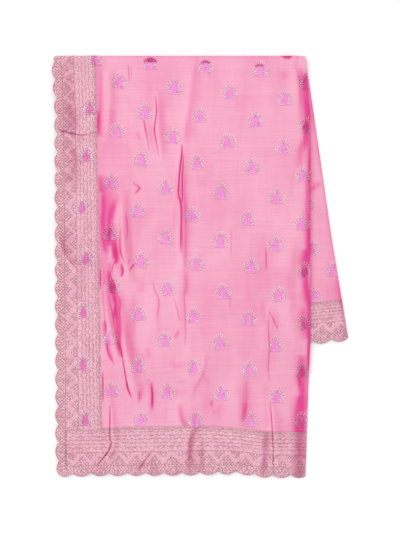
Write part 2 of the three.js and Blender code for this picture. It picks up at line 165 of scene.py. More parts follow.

# Painted shade on the field, where its folds, gathers and pockets lie in shade; an amount below 0 is a
# painted highlight on a lit side.
FIELD_SHADING = stroke_table(
    # beside the long crease
    ([(-36, 150), (-38, 118), (-37, 60)], 5, 3, 0.3),
    ([(-24, 150), (-25, 60), (-23, -10)], 3, 7, 0.25),
    ([(-23.5, -8), (-23.5, -46)], 3, 5, 0.45),
    ([(-6, 338), (-12.5, 291), (-21, 225), (-24, 195)], 3.5, 5, 0.32),
    # the gathers beside the border
    ([(-161, 334), (-161, 280), (-160, 206)], 7, 8, 0.6),
    ([(-163, 250), (-163, 230), (-162, 208)], 4, 3.2, 0.7),
    ([(-158, 196), (-156, 60), (-150, -60), (-148, -250)], 9, 12, 0.14),
    ([(-139, 252), (-140, 238), (-139, 224)], 5, 6, 0.22),
    ([(-160, 150), (-159, 118)], 5, 6, 0.5),
    ([(-153, 146), (-149, 100), (-146, 55), (-140, 12)], 15, 16, 0.58),
    ([(-156, 126), (-154, 82), (-150, 34)], 9, 12, 0.34),
    ([(-128, 118), (-132, 105), (-142, 90), (-147, 76)], 6, 8, 0.36),
    ([(-152, 84), (-150, 60), (-148, 36)], 8, 9, 0.22),
    ([(-128, 104), (-131, 86), (-136, 66)], 4, 4, -0.4),
    ([(-155, 56), (-153, 38), (-151, 22)], 4.5, 5, 0.7),
    ([(-142, 44), (-136, 24), (-131, 4)], 7.5, 6.5, 0.75),
    ([(-145, 34), (-144, 20), (-146, 6)], 3, 3.2, -0.9),
    ([(-159, 14), (-158, -20), (-155, -60)], 3, 8, 0.3),
    ([(-152, -30), (-149, -66), (-143, -104)], 3, 3.5, -0.9),
    ([(-145, 30), (-143, 5), (-146, -10)], 6, 5, 0.4),
    ([(-127, 6), (-125.5, -6), (-127, -15)], 2.2, 2.4, 1.0),
    ([(-164, 22), (-164, 4)], 2, 3, 0.5),
    # the dark band that runs down from them
    ([(-147, -6), (-141, -33), (-135.5, -48), (-132, -60), (-134, -78)], 3.6, 4.8, 1.7),
    ([(-136, -46), (-132, -60), (-133.5, -72), (-130.5, -90), (-130.5, -122), (-126, -145)], 4, 5, 1.7),
    ([(-154, -84), (-153, -97), (-153, -110)], 3, 4, 0.85),
    ([(-149, -116), (-147, -130), (-141, -150)], 3, 4, 0.65),
    ([(-122, -40), (-121, -90), (-112, -150)], 5, 8, 0.3),
    ([(-118, -182), (-115, -195), (-109, -208)], 2.6, 3.2, 0.5),
    # the lower field
    ([(-101, 218), (-97.5, 202)], 3, 3, 0.28),
    ([(-98, -16), (-94, -42)], 9, 9, 0.25),
    ([(-67.5, -50), (-67.5, -118)], 4, 5, 0.22),
    ([(-41, -114), (-34, -101)], 3, 3, 0.55),
    ([(11.2, -138), (5.9, -165), (-0.8, -181), (-10, -197), (-11.5, -216)], 2.5, 2.8, 0.45),
    ([(4.5, -168), (8.5, -185)], 2, 2, 0.3),
    ([(-39, -184), (-18, -181)], 2, 2.4, 0.3),
    ([(-86, -128), (-81, -145)], 3, 3, 0.28),
    ([(-84, -176), (-79, -205), (-78, -232)], 5, 4, 0.42),
    ([(-95, -184), (-95, -214)], 6, 6, 0.3),
    ([(-34, -218), (-31, -238), (-27, -250), (-20, -262)], 4, 5, 0.75),
    ([(-10, -222), (-11, -240), (-11, -264)], 3, 3, 0.32),
    ([(73, -176), (72, -212), (66, -256)], 7, 7, 0.4),
    ([(73, -216), (68, -250)], 4.5, 5, 0.4),
    ([(40, -216), (30, -226), (26, -244)], 7, 8, 0.2),
    ([(-52, -150), (-36, -158), (-10, -152)], 5, 6, 0.22),
    ([(-60, -186), (-44, -200), (-20, -196)], 8, 8, 0.2),
    ([(-104, -128), (-98, -142), (-86, -150)], 5, 6, 0.25),
    ([(100, -48), (100, -94)], 6, 6, 0.22),
    ([(113, -78), (117, -100)], 3, 5, 0.3),
    ([(105, -185), (107, -225), (110, -256)], 5, 4, 0.3),
    ([(128, 2), (132, -26), (130, -52)], 12, 14, 0.3),
    # pockets at the buds of the top row
    ([(-91, 328), (-80, 333), (-69, 328)], 2.8, 2.8, 0.8),
    ([(1, 325), (8, 329), (15, 325)], 2.2, 2.2, 0.8),
    ([(87, 320.5), (94, 323.5), (101, 320)], 2, 2, 0.7),
    ([(127, 347), (138, 342), (150, 347)], 4, 4, 0.9),
    # along the right fold
    ([(153, 342), (152, 320), (155, 296)], 2.5, 3.5, 0.32),
    ([(134, 314), (137, 298)], 6, 6, 0.28),
    ([(161, 318), (160, 268), (163, 222)], 5.5, 14, 0.6),
    ([(170, 308), (170, 262), (173, 214)], 5, 8, 0.6),
    ([(157.5, 322), (156.5, 286)], 1.6, 3, 0.45),
    ([(170, 226), (166, 204), (160, 184), (157, 156)], 6, 7, 0.85),
    ([(170, 150), (169, 70), (168, 0)], 6, 8, 0.3),
    ([(174, 262), (173.5, 120), (173, -4)], 4, 8, 1.5),
    ([(164, 30), (162, 8), (165, -16)], 5, 9, 0.8),
    ([(165, -2), (168, -30), (173, -66)], 7, 9, 1.0),
    ([(174, -36), (173.5, -110), (171, -176)], 3.2, 8, 1.7),
    ([(168, 312), (168, 280)], 5, 8, 0.8),
    ([(168, 240), (169, 206)], 4, 8, 0.7),
    ([(165, -64), (163, -90), (168, -116)], 6, 8, 0.8),
    ([(162, -140), (161, -166), (163, -190)], 8, 9, 0.9),
    ([(160, -166), (164, -194), (167, -228)], 7.5, 9, 1.15),
    ([(160, -206), (157, -246), (159, -284)], 9, 12, 1.4),
)

# Creases that close to a thin line: the cloth sinks along them, and painted shade darkens them.
SLITS = stroke_table(
    # the long double crease in the middle
    ([(-29, 196), (-29.6, 178), (-31.7, 163), (-33.9, 139), (-34.9, 117)], 1.2, 1.4, 1.5),
    ([(-34.6, 132), (-34.8, 114), (-31.8, 105), (-30.5, 92), (-30.2, 78), (-31, 50), (-32, 22)], 1.8, 2, 1.5),
    ([(-26.6, 181), (-27.4, 163), (-28.9, 140), (-28.9, 118), (-28.4, 102)], 0.9, 1.1, 0.9),
    ([(-28.8, 64), (-28.4, 22)], 0.9, 1.2, 0.45),
    ([(-26, -35), (-24.8, -64), (-23.5, -104), (-24.8, -130)], 1.0, 1.6, 0.4),
    # short creases at its left
    ([(-72.3, 275), (-70.1, 255), (-70.6, 242), (-73.3, 220), (-71.7, 208), (-65.9, 174)], 1.0, 1.2, 1.35),
    ([(-90.4, 236), (-88.3, 223), (-85.1, 208), (-81.4, 183)], 0.9, 1.3, 1.0),
    ([(-107.5, 135), (-98.5, 128), (-96.3, 126), (-98.5, 123), (-104.5, 116)], 1.4, 1.4, 1.3),
    # the gathers beside the border
    ([(-127, 64), (-128.5, 45), (-127.7, 27), (-124, 13), (-116, 1)], 0.9, 1.1, 0.9),
    ([(-126, 8), (-123, -8), (-126.5, -17)], 1.1, 1.1, 0.9),
    ([(-131, 12), (-139, 2.4), (-141, -10)], 1.0, 1.0, 0.7),
    ([(-118, 84), (-116.5, 62), (-117, 43)], 0.9, 1.6, 0.55),
    ([(-113.5, 14), (-113.5, 3)], 1.0, 1.3, 0.5),
    ([(-103, 8), (-108, 1), (-114, -7)], 1.4, 1.6, 0.7),
    ([(-159.6, -2), (-159.4, -36)], 1.2, 1.3, 1.0),
    ([(-153.6, -3), (-153.6, -45)], 1.0, 1.6, 0.4),
    ([(-155, -37), (-153, -78), (-150, -107)], 0.9, 1.3, 0.55),
    ([(-147, -43), (-139, -80), (-134, -111)], 0.9, 1.1, 0.5),
    ([(-130, -118), (-125, -141), (-122, -158), (-119, -176), (-115.5, -195), (-109, -211)], 0.9, 1.1, 1.2),
    ([(-155.6, -166), (-155.6, -216)], 1.0, 1.2, 1.2),
    ([(-150, -119), (-147, -137), (-136, -157)], 1.2, 1.8, 0.6),
    # the lower field
    ([(-76, -20), (-72.8, -37), (-66.1, -55.5), (-70, -87)], 0.9, 1.5, 0.45),
    ([(-42.5, -46), (-36.8, -69), (-32.5, -87)], 0.9, 1.5, 0.5),
    ([(109.9, -69), (108.5, -98), (109.9, -130), (108.5, -157), (109.9, -185)], 0.9, 1.5, 0.55),
    ([(109, -69), (117, -84), (124, -100)], 1.0, 1.2, 0.6),
    ([(111, -212), (113.9, -245), (115.2, -267), (116, -290), (117.3, -333)], 0.9, 1.0, 1.4),
    ([(-78.1, -184), (-76.8, -205), (-77.6, -227)], 1.3, 1.8, 1.0),
    ([(-98.1, -197), (-98.1, -218)], 0.9, 1.1, 0.9),
    ([(-94.7, -197), (-94.7, -216)], 0.8, 1.0, 0.45),
    ([(17.5, -213), (19, -224), (22.5, -234)], 1.0, 1.5, 0.6),
    ([(48.8, 64), (49.5, 40), (48.5, 16)], 0.9, 1.6, 0.35),
    ([(105, 30), (105, -5)], 1.2, 1.6, 0.6),
    ([(47.2, -44), (47.2, -66)], 1.0, 1.8, 0.4),
    ([(-115.5, 324), (-114, 310), (-113, 296)], 1.0, 1.4, 0.55),
    ([(-110.5, 320), (-109.5, 298)], 0.9, 1.3, 0.4),
    # over the hem and the left border
    ([(-145, -222), (-144.8, -245), (-145.1, -272), (-142.7, -282), (-146.7, -294)], 1.0, 1.2, 1.3),
    ([(-142.7, -279), (-146.7, -294), (-152.8, -302), (-167, -320)], 1.1, 1.3, 1.2),
    ([(-77, -296), (-87, -308), (-99, -325)], 2.0, 2.2, 0.9),
    ([(-230, 223), (-222, 217), (-205, 213), (-187, 210), (-163, 215)], 1.0, 1.4, 0.9),
    # pockets at the buds of the top row
    ([(-91, 326.5), (-80, 332)], 1.5, 1.5, 1.7),
    ([(-80, 332), (-69, 326.5)], 1.5, 1.5, 1.7),
    ([(-86, 328), (-74, 328)], 1.6, 1.6, 1.5),
    ([(0.5, 324), (8, 328)], 1.3, 1.3, 1.5),
    ([(8, 328), (16, 324)], 1.3, 1.3, 1.5),
    ([(87, 319.5), (94, 322.5)], 1.2, 1.2, 1.2),
    ([(94, 322.5), (101, 319)], 1.2, 1.2, 1.2),
    ([(127, 347), (138, 332)], 2.4, 2.4, 1.8),
    ([(150, 347), (139, 332)], 2.4, 2.4, 1.8),
    ([(138, 350), (138.5, 334)], 4, 4, 1.8),
)

# Painted shade on the borders, in their folds.
BORDER_SHADING = stroke_table(
    ([(159, -250), (159, -300), (158, -344)], 10, 14, 0.9),
    ([(107.5, -254), (105.5, -278), (103, -307), (100, -336)], 5.5, 5.5, 0.55),
    ([(-5, -256), (-14, -270), (-18, -296), (-21, -326)], 4, 5.5, 0.85),
    ([(2, -270), (2, -300), (0, -340)], 4.5, 4.5, 0.5),
    ([(-37.5, -306), (-38.5, -334)], 1.6, 1.8, 0.5),
    ([(-229, 58), (-215, 20), (-196, -8)], 2, 3, 0.45),
    ([(-214, 352), (-212, 250), (-206, 110)], 11, 13, 0.34),
    ([(-203, 196), (-200, 170), (-205, 132)], 7, 7, 0.35),
    ([(-204, 262), (-205, 240), (-198, 214)], 8, 9, 0.35),
    ([(-222, 100), (-214, 20), (-220, -90)], 8, 8, 0.2),
    ([(-206, 60), (-190, 20), (-196, -50)], 8, 8, 0.2),
    ([(-178, 343), (-172, 341), (-165, 343)], 4, 3, 1.8),
)

# Painted shade on the back leaf, mostly beside the front leaf's edge and along its own right fold.
BACK_SHADING = stroke_table(
    ([(176, 122), (184, 129), (192, 134)], 4, 4, 0.5),
    ([(196, 60), (200, 10), (214, -80)], 8, 12, 0.12),
    ([(170, 345), (190, 200), (214, 43), (236, -130)], 4.5, 12, 0.8),
    ([(216, -20), (222, -60)], 6, 8, 0.25),
    ([(180, 320), (178, 100), (176, -118)], 6, 4, 0.35),
)

# Rows of buds on the front leaf: y of the left bud, how far the row falls over its span, and how far it is
# shifted to the right. Every other row starts on the border and ends with a bud on the right fold, whose
# place is fold_bud.
BudRow = namedtuple("BudRow", "y fall shift fold_bud")
BUD_ROWS = [
    BudRow(331, 22, 17, (168.5, 296)),
    BudRow(296, 27, 12, None),
    BudRow(254, 26, 8, (168, 224)),
    BudRow(217, 26, 9, None),
    BudRow(178, 25, 3, (163.5, 147)),
    BudRow(135, 24, -1, None),
    BudRow(96, 26, -4, (161.5, 69)),
    BudRow(53, 17, -2, None),
    BudRow(15, 19, 2, (166, -6)),
    BudRow(-30, 15, 2, None),
    BudRow(-71, 15, -2, (166, -89)),
    BudRow(-113, 11, -3, None),
    BudRow(-154, 13, -2, (162.5, -166)),
    BudRow(-197, 9, 0, None),
    BudRow(-243, 3, 1, (161.5, -246)),
]
BUD_PITCH = 88
BUDS_IN_ROW = 4  # without the one on the fold
# x of the left bud of each kind of row, and the span over which the row falls.
BORDER_ROW = (-184.8, 349)
FIELD_ROW = (-141.6, 264)
BACK_BUDS = [(170, 101), (177, 29.6), (213.6, -4.8), (182, -46)]

# ---------------------------------------------------------------- form


def smoothstep(x, low, high):
    t = np.clip((x - low) / (high - low), 0, 1)
    return t * t * (3 - 2 * t)


def lerp(a, b, t):
    return a + (b - a) * t


def look_up(table, at):
    """The second column of a table where its first one is at, straight between its rows."""
    return np.interp(at, *zip(*table))


def as_points(*axes):
    """Points from their coordinates, each a number or an array."""
    return np.stack(np.broadcast_arrays(*axes), -1)


def fold_start(edge, y):
    """Where a leaf's side fold starts."""
    return look_up(edge, y) - WRAP_WIDTH


HEM_CORNER = float(look_up(LEFT_SEAM, HEM_SEAM_Y))


def hem_seam_y(x):
    return HEM_SEAM_Y - HEM_SEAM_FALL * np.maximum(0, x - HEM_CORNER) + look_up(SEAM_RISE, x)


def back_tips_y(x):
    return BACK_TIPS_Y + BACK_TIPS_SLOPE * (x - BACK_TIPS_X)


def scallop_inset(lobes):
    across = 2 * (lobes - np.floor(lobes)) - 1
    return SCALLOP_DEPTH * across * across


def back_edge_y(x):
    """The back leaf's scalloped edge."""
    return back_tips_y(x) + scallop_inset((x - BACK_TIPS_X) / SCALLOP_PITCH)


def front_lobes(along):
    past = np.abs(along) - CORNER_LOBE
    return np.where(past < 0, 0.5 + along / (2 * CORNER_LOBE), past / SCALLOP_PITCH)


def hem_tips_y(x):
    return look_up(HEM_RISE, x) - HALF_LENGTH


def scalloped_edge(along, inward=0.0):
    """The front leaf's scalloped edge, or a line inside it, by the length along it from the corner's middle.

    The length is below 0 on the left side and above 0 on the hem.
    """
    along = np.asarray(along, float)
    straight = np.maximum(0, np.abs(along) - HALF_ARC)
    turn = math.pi / 4 - np.minimum(np.abs(along), HALF_ARC) / CORNER_RADIUS
    reach = CORNER_RADIUS - scallop_inset(front_lobes(along)) - inward
    inwards = CORNER_RADIUS - reach * np.cos(turn)
    forwards = CORNER_RADIUS - reach * np.sin(turn) + straight
    side_y = -HALF_LENGTH + forwards
    x = np.where(along < 0, look_up(LEFT_TIPS, side_y) + inwards, LEFT_TIPS[0][1] + forwards)
    y = np.where(along < 0, side_y, hem_tips_y(x) + inwards)
    return x, y


def side_length(y):
    return HALF_ARC + y + HALF_LENGTH - CORNER_RADIUS


def hem_length(x):
    return HALF_ARC + x - LEFT_TIPS[0][1] - CORNER_RADIUS


def smooth_line(points, steps=6):
    """A Catmull-Rom line through the points."""
    pts = np.array(points, float)
    ends = np.vstack([2 * pts[0] - pts[1], pts, 2 * pts[-1] - pts[-2]])
    t = np.linspace(0, 1, steps, endpoint=False)[:, None]
    made = []
    for a, b, c, d in zip(ends, ends[1:], ends[2:], ends[3:]):
        squared, cubed = 2 * a - 5 * b + 4 * c - d, 3 * b - a - 3 * c + d
        made.append(0.5 * (2 * b + (c - a) * t + squared * t**2 + cubed * t**3))
    return np.vstack(made + [pts[-1:]])


# How a stroke dies out to its ends: the lower the number, the longer it keeps its amount.
RIDGE_TAPER, COLOUR_TAPER, BACK_TAPER = 0.7, 0.45, 0.3


def strokes_at(strokes, x, y, taper):
    """Sum of the strokes' amounts at each place: full on the line, dying out to its sides and ends."""
    x, y = np.broadcast_arrays(np.asarray(x, float), np.asarray(y, float))
    total = np.zeros(x.shape)
    for stroke in strokes:
        line = smooth_line(stroke.points)
        reach = 3 * max(stroke.west, stroke.east)
        low, high = line.min(0) - reach, line.max(0) + reach
        near = (x > low[0]) & (x < high[0]) & (y > low[1]) & (y < high[1])
        if not near.any():
            continue
        place = np.stack([x[near], y[near]], -1)[:, None]
        start, step = line[:-1], np.diff(line, axis=0)
        t = np.clip(((place - start) * step).sum(-1) / (step**2).sum(-1), 0, 1)
        away = place - (start + t[..., None] * step)
        far = np.hypot(away[..., 0], away[..., 1])
        best = far.argmin(1)
        rows = np.arange(len(best))
        side = (step[:, 0] * away[..., 1] - step[:, 1] * away[..., 0])[rows, best]
        width = np.where(side > 0, stroke.east, stroke.west)
        along = (best + t[rows, best]) / len(step)
        ends = np.sin(math.pi * np.clip(along, 0, 1)) ** taper
        total[near] += stroke.amount * ends * np.exp(-((far[rows, best] / width) ** 2))
    return total


RIPPLES = np.random.default_rng(11).uniform(0, 1, (9, 3))
RIPPLE_LENGTHS = (26, 86)  # shortest and longest
RIPPLE_FAN = 0.7 * math.pi  # angle between their outermost headings
RIPPLE_HEIGHT = 0.0011  # of one ripple, as a share of its length


def ripple(x, y):
    """The cloth's slight unevenness, a few tenths of a millimetre."""
    total = np.zeros(np.broadcast(x, y).shape)
    for heading, length, phase in RIPPLES:
        wave = lerp(*RIPPLE_LENGTHS, length)
        angle = RIPPLE_FAN * (heading - 0.5)
        total += np.sin(2 * math.pi * ((x * math.cos(angle) + y * math.sin(angle)) / wave + phase)) * wave
    return total * RIPPLE_HEIGHT


def slits_at(x, y):
    return np.clip(strokes_at(SLITS, x, y, COLOUR_TAPER), 0, 1)


RELIEF_LIFT = 0.4  # keeps the ripples clear of the layers


def relief(x, y):
    folds = strokes_at(RIDGES, x, y, RIDGE_TAPER) + ripple(x, y)
    return (folds + RELIEF_LIFT - SLIT_SINK * slits_at(x, y)) * (1 - smoothstep(y, *FOLD_FADE))


def back_left(y):
    return look_up(LEFT_TIPS, ROLL_Y) + BACK_SWING * (ROLL_Y - y)


def descent(x, y):
    """How far the front leaf has come down, past the back leaf's lower and left edges."""
    below = np.maximum(0, back_tips_y(np.minimum(x, BACK_TIPS_X)) - CLEAR - y)
    beside = np.maximum(0, back_left(y) - CLEAR - x)
    return LIFT * smoothstep(np.hypot(below, beside), 0, RAMP)


def round_fold(p, edge):
    """A length across a leaf, turned round its side fold: x and the depth below the leaf's face."""
    past = p - (edge - WRAP_WIDTH)
    turn = np.maximum(0, past - SHOULDER) / WRAP_RADIUS
    shoulder = WRAP_FALL * (np.clip(past, 0, SHOULDER) / SHOULDER) ** 2
    x = np.where(past <= SHOULDER, p, edge - WRAP_RADIUS * (1 - np.sin(turn)))
    return x, shoulder + WRAP_RADIUS * (1 - np.cos(turn))


def edge_droop(to_edge):
    return DROOP_FALL * (1 - smoothstep(to_edge, 0, DROOP_REACH))


FLUTTER_HEIGHT = 0.45
FLUTTER_REACH = 30  # from the edge
FLUTTER_LENGTHS = (83, 37)


def flutter(x, y, to_edge):
    """The scalloped edges lift and sink a little."""
    slow, quick = FLUTTER_LENGTHS
    wave = np.sin(2 * math.pi * (x + y) / slow) + 0.7 * np.sin(2 * math.pi * (x - y) / quick + 1)
    return FLUTTER_HEIGHT * wave * (1 - smoothstep(to_edge, 0, FLUTTER_REACH))


def front_face(p, q):
    """The front leaf's shown face. q is y until the top fold and then runs on round it."""
    y = np.minimum(q, ROLL_Y)
    x, fold_depth = round_fold(p, look_up(RIGHT_FOLD, y))
    to_edge = np.minimum(x - look_up(LEFT_TIPS, y), y + HALF_LENGTH)
    droop = edge_droop(to_edge) * (1 - fold_depth / WRAP_DEPTH)
    depth = fold_depth * (1 - FOLD_SQUEEZE * smoothstep(q, FOLD_FADE[0], ROLL_Y)) + droop
    flat = np.clip(1 - fold_depth / RELIEF_DEPTH, 0, 1)
    folds = (relief(x, y) + flutter(x, y, to_edge) * (1 - smoothstep(y, *FOLD_FADE))) * flat
    turn = np.maximum(0, q - ROLL_Y) / ROLL_RADIUS
    radius = ROLL_RADIUS - depth
    rolled = q > ROLL_Y
    z = np.where(rolled, ROLL_RADIUS + radius * np.cos(turn), FRONT_TOP - depth + folds - descent(x, y))
    return as_points(x, np.where(rolled, ROLL_Y + radius * np.sin(turn), q), z)


BACK_CALM = 0.5  # the back leaf's waves are this share of the front leaf's


def back_face(p, q):
    """The back leaf's shown face."""
    x, depth = round_fold(p, look_up(BACK_FOLD, q))
    to_edge = q - back_tips_y(x)
    droop = edge_droop(to_edge) * (1 - depth / WRAP_DEPTH)
    wave = (ripple(x, q) + flutter(x, q, to_edge)) * np.clip(1 - depth / RELIEF_DEPTH, 0, 1) * BACK_CALM
    return as_points(x, q, BACK_TOP - depth - droop + wave)


def facing_shade(x, y):
    """The slope towards the right, away from the light: above 0 in the shade, below 0 where it is lit."""
    return (relief(x - 1, y) - relief(x + 1, y)) / 2


# Painted shade: what a closed crease adds, the steepest shaded slope that counts, and the share over the top
# fold, which turns away from the light.
SLIT_SHADE = 1.2
SHADE_MOST = 0.45  # the steepest slope that still adds to the shade
TURNED_SHADE = 0.22  # over the top fold


def painted_shading(strokes, p, q, shade, lit):
    """Painted shade of strokes, closed creases and slopes away from the light, and painted highlight on lit
    slopes. lit caps the slope on the lit side.
    """
    broad = np.clip(strokes_at(strokes, p, q, COLOUR_TAPER), 0, 1)
    return broad + SLIT_SHADE * slits_at(p, q) + shade * np.clip(facing_shade(p, q), -lit, SHADE_MOST)


def front_shading(p, q):
    """The front's painted shading: painted shade up to 1 in a fold and up to 2 in a closed crease, painted
    highlight below 0 where it is lit.
    """
    turned = TURNED_SHADE * smoothstep(q, ROLL_Y - 4, ROLL_Y + 14)
    return np.clip(painted_shading(FIELD_SHADING, p, q, 0.8, 0.35) + turned, -1, 2)


# Painted shade on the borders, and painted highlight where they are lit.
def border_shading(p, q):
    return np.clip(painted_shading(BORDER_SHADING, p, q, 0.6, 0.3), -1, 2)


# Painted shade on the back leaf.
def back_shading(p, q):
    return np.clip(strokes_at(BACK_SHADING, p, q, BACK_TAPER), 0, 1)


# ---------------------------------------------------------------- meshes


def add_object(name, data):
    made = bpy.data.objects.new(name, data)
    bpy.context.scene.collection.objects.link(made)
    return made


def add_mesh(name, vertices, faces, material, shading):
    """A piece of the part, with its painted shade at each vertex: painted highlight where it is below 0."""
    mesh = bpy.data.meshes.new(name)
    mesh.from_pydata((vertices * MM).tolist(), [], faces)
    mesh.polygons.foreach_set("use_smooth", np.ones(len(mesh.polygons), bool))
    mesh.attributes.new("shading", "FLOAT", "POINT").data.foreach_set("value", shading.astype(np.float32))
    mesh.materials.append(material)
    made = add_object(name, mesh)
    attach(made, BODY)
    return made


def brick(name, points, material, shading):
    """The closed skin of a block of points with axes a, b and c that are right-handed in space."""
    surface = np.zeros(points.shape[:3], bool)
    for side in (0, -1):
        surface[side] = surface[:, side] = surface[:, :, side] = True
    index = np.full(points.shape[:3], -1)
    index[surface] = np.arange(surface.sum())
    skins = [index[:, :, -1], index[:, :, 0].T, index[-1], index[0].T, index[:, -1].T, index[:, 0]]
    faces = []
    for ids in skins:
        corners = [ids[:-1, :-1], ids[1:, :-1], ids[1:, 1:], ids[:-1, 1:]]
        faces += np.stack(corners, -1).reshape(-1, 4).tolist()
    return add_mesh(name, points[surface], faces, material, shading[surface])


def shell(name, p, q, face, shading, material):
    """A thin closed cloth under a face, over a grid of flat coordinates."""
    outer = face(p, q)
    normal = np.cross(np.gradient(outer, axis=0), np.gradient(outer, axis=1))
    normal /= np.linalg.norm(normal, axis=-1, keepdims=True)
    points = np.stack([outer - normal * CLOTH, outer], 2)
    shade = shading(p, q)
    return brick(name, points, material, np.stack([shade, shade], -1))


def lines(*stretches):
    """Grid lines: (from, to, steps) for each stretch, joined end to end."""
    made = [np.array([stretches[0][0]], float)]
    for start, end, steps in stretches:
        made.append(np.linspace(start, end, steps + 1)[1:])
    return np.concatenate(made)


# ---------------------------------------------------------------- thread work


def frame_on(face, p, q):
    """Place and outward direction of the face at flat coordinates."""
    step = 0.5
    across = face(p + step, q) - face(p - step, q)
    along = face(p, q + step) - face(p, q - step)
    normal = np.cross(across, along)
    return face(p, q), normal / np.linalg.norm(normal, axis=-1, keepdims=True)


STITCH_FACES = [
    [0, 2, 1], [0, 3, 2], [0, 1, 3], [1, 2, 5, 4], [2, 3, 6, 5], [3, 1, 4, 6],
    [7, 4, 5], [7, 5, 6], [7, 6, 4],
]
STITCH_FOOT = 0.12  # how far a stitch reaches into the cloth
STITCH_TAPER = 0.2  # share of its length that each pointed end takes
LEAST_STITCH = 0.7  # a line's last stitch is left out below this share of the usual length


def add_stitches(name, rows, face, shading, material):
    """Each row is one stitch: start p and q, end p and q, width, height. It is a grain with pointed ends."""
    start, end = face(rows[:, 0], rows[:, 1]), face(rows[:, 2], rows[:, 3])
    middle_p, middle_q = (rows[:, 0] + rows[:, 2]) / 2, (rows[:, 1] + rows[:, 3]) / 2
    _, up = frame_on(face, middle_p, middle_q)
    ahead = end - start
    side = np.cross(up, ahead)
    side *= (rows[:, 4] / 2 / np.linalg.norm(side, axis=-1))[:, None]
    top = up * rows[:, 5][:, None]
    foot = up * -STITCH_FOOT
    points = [start + foot]
    for centre in (start + ahead * STITCH_TAPER, start + ahead * (1 - STITCH_TAPER)):
        points += [centre + side + foot, centre + top, centre - side + foot]
    points.append(end + foot)
    vertices = np.stack(points, 1).reshape(-1, 3)
    count = len(points)
    faces = [[count * i + corner for corner in shape] for i in range(len(rows)) for shape in STITCH_FACES]
    return add_mesh(name, vertices, faces, material, np.repeat(shading(middle_p, middle_q), count))


def stitches(*columns):
    """Rows for add_stitches from its six columns, each a number or an array."""
    return np.column_stack(np.broadcast_arrays(*(np.atleast_1d(np.asarray(c, float)) for c in columns)))


def stitch_line(path, length, gap, width, height):
    """Stitches one after the other along a path of flat points."""
    path = np.asarray(path, float)
    travelled = np.concatenate([[0], np.cumsum(np.hypot(*np.diff(path, axis=0).T))])
    start = np.arange(0, max(travelled[-1] - length * LEAST_STITCH, 0.01), length + gap)
    end = np.minimum(start + length, travelled[-1])
    at = [np.interp(place, travelled, path[:, axis]) for place in (start, end) for axis in (0, 1)]
    return stitches(*at, width, height)


SEQUIN_SIDES = 8
SEQUIN_RADIUS = 0.85
SEQUIN_HALF = 0.12  # half its thickness
SEQUIN_RISE = 0.75
SEQUIN_TILT = 0.22


def add_sequins(name, places, face, shading, material):
    """Small flat discs, each tilted a little its own way."""
    places = np.asarray(places, float)
    centre, up = frame_on(face, places[:, 0], places[:, 1])
    up = up + np.random.default_rng(3).normal(0, SEQUIN_TILT, centre.shape)
    up /= np.linalg.norm(up, axis=-1, keepdims=True)
    across = np.cross(up, [0.0, 1.0, 0.0])
    across /= np.linalg.norm(across, axis=-1, keepdims=True)
    along = np.cross(up, across)
    centre = centre + up * SEQUIN_RISE
    rings = []
    for height in (-SEQUIN_HALF, SEQUIN_HALF):
        for i in range(SEQUIN_SIDES):
            angle = 2 * math.pi * i / SEQUIN_SIDES
            out = across * math.cos(angle) + along * math.sin(angle)
            rings.append(centre + SEQUIN_RADIUS * out + up * height)
    vertices = np.stack(rings, 1).reshape(-1, 3)
    low = list(range(SEQUIN_SIDES))
    high = [corner + SEQUIN_SIDES for corner in low]
    rim = [[low[i - 1], low[i], high[i], high[i - 1]] for i in low[1:] + low[:1]]
    count = 2 * SEQUIN_SIDES
    shape = [low[::-1], high, *rim]
    faces = [[count * i + corner for corner in ring] for i in range(len(places)) for ring in shape]
    return add_mesh(name, vertices, faces, material, np.repeat(shading(places[:, 0], places[:, 1]), count))


# ---------------------------------------------------------------- materials


def srgb(red, green, blue):
    """An 8-bit colour as a linear one with alpha."""
    def linear(value):
        value /= 255
        return value / 12.92 if value <= 0.04045 else ((value + 0.055) / 1.055) ** 2.4

    return (linear(red), linear(green), linear(blue), 1)


def set_inputs(node, values):
    for socket, value in values.items():
        node.inputs[socket].default_value = value


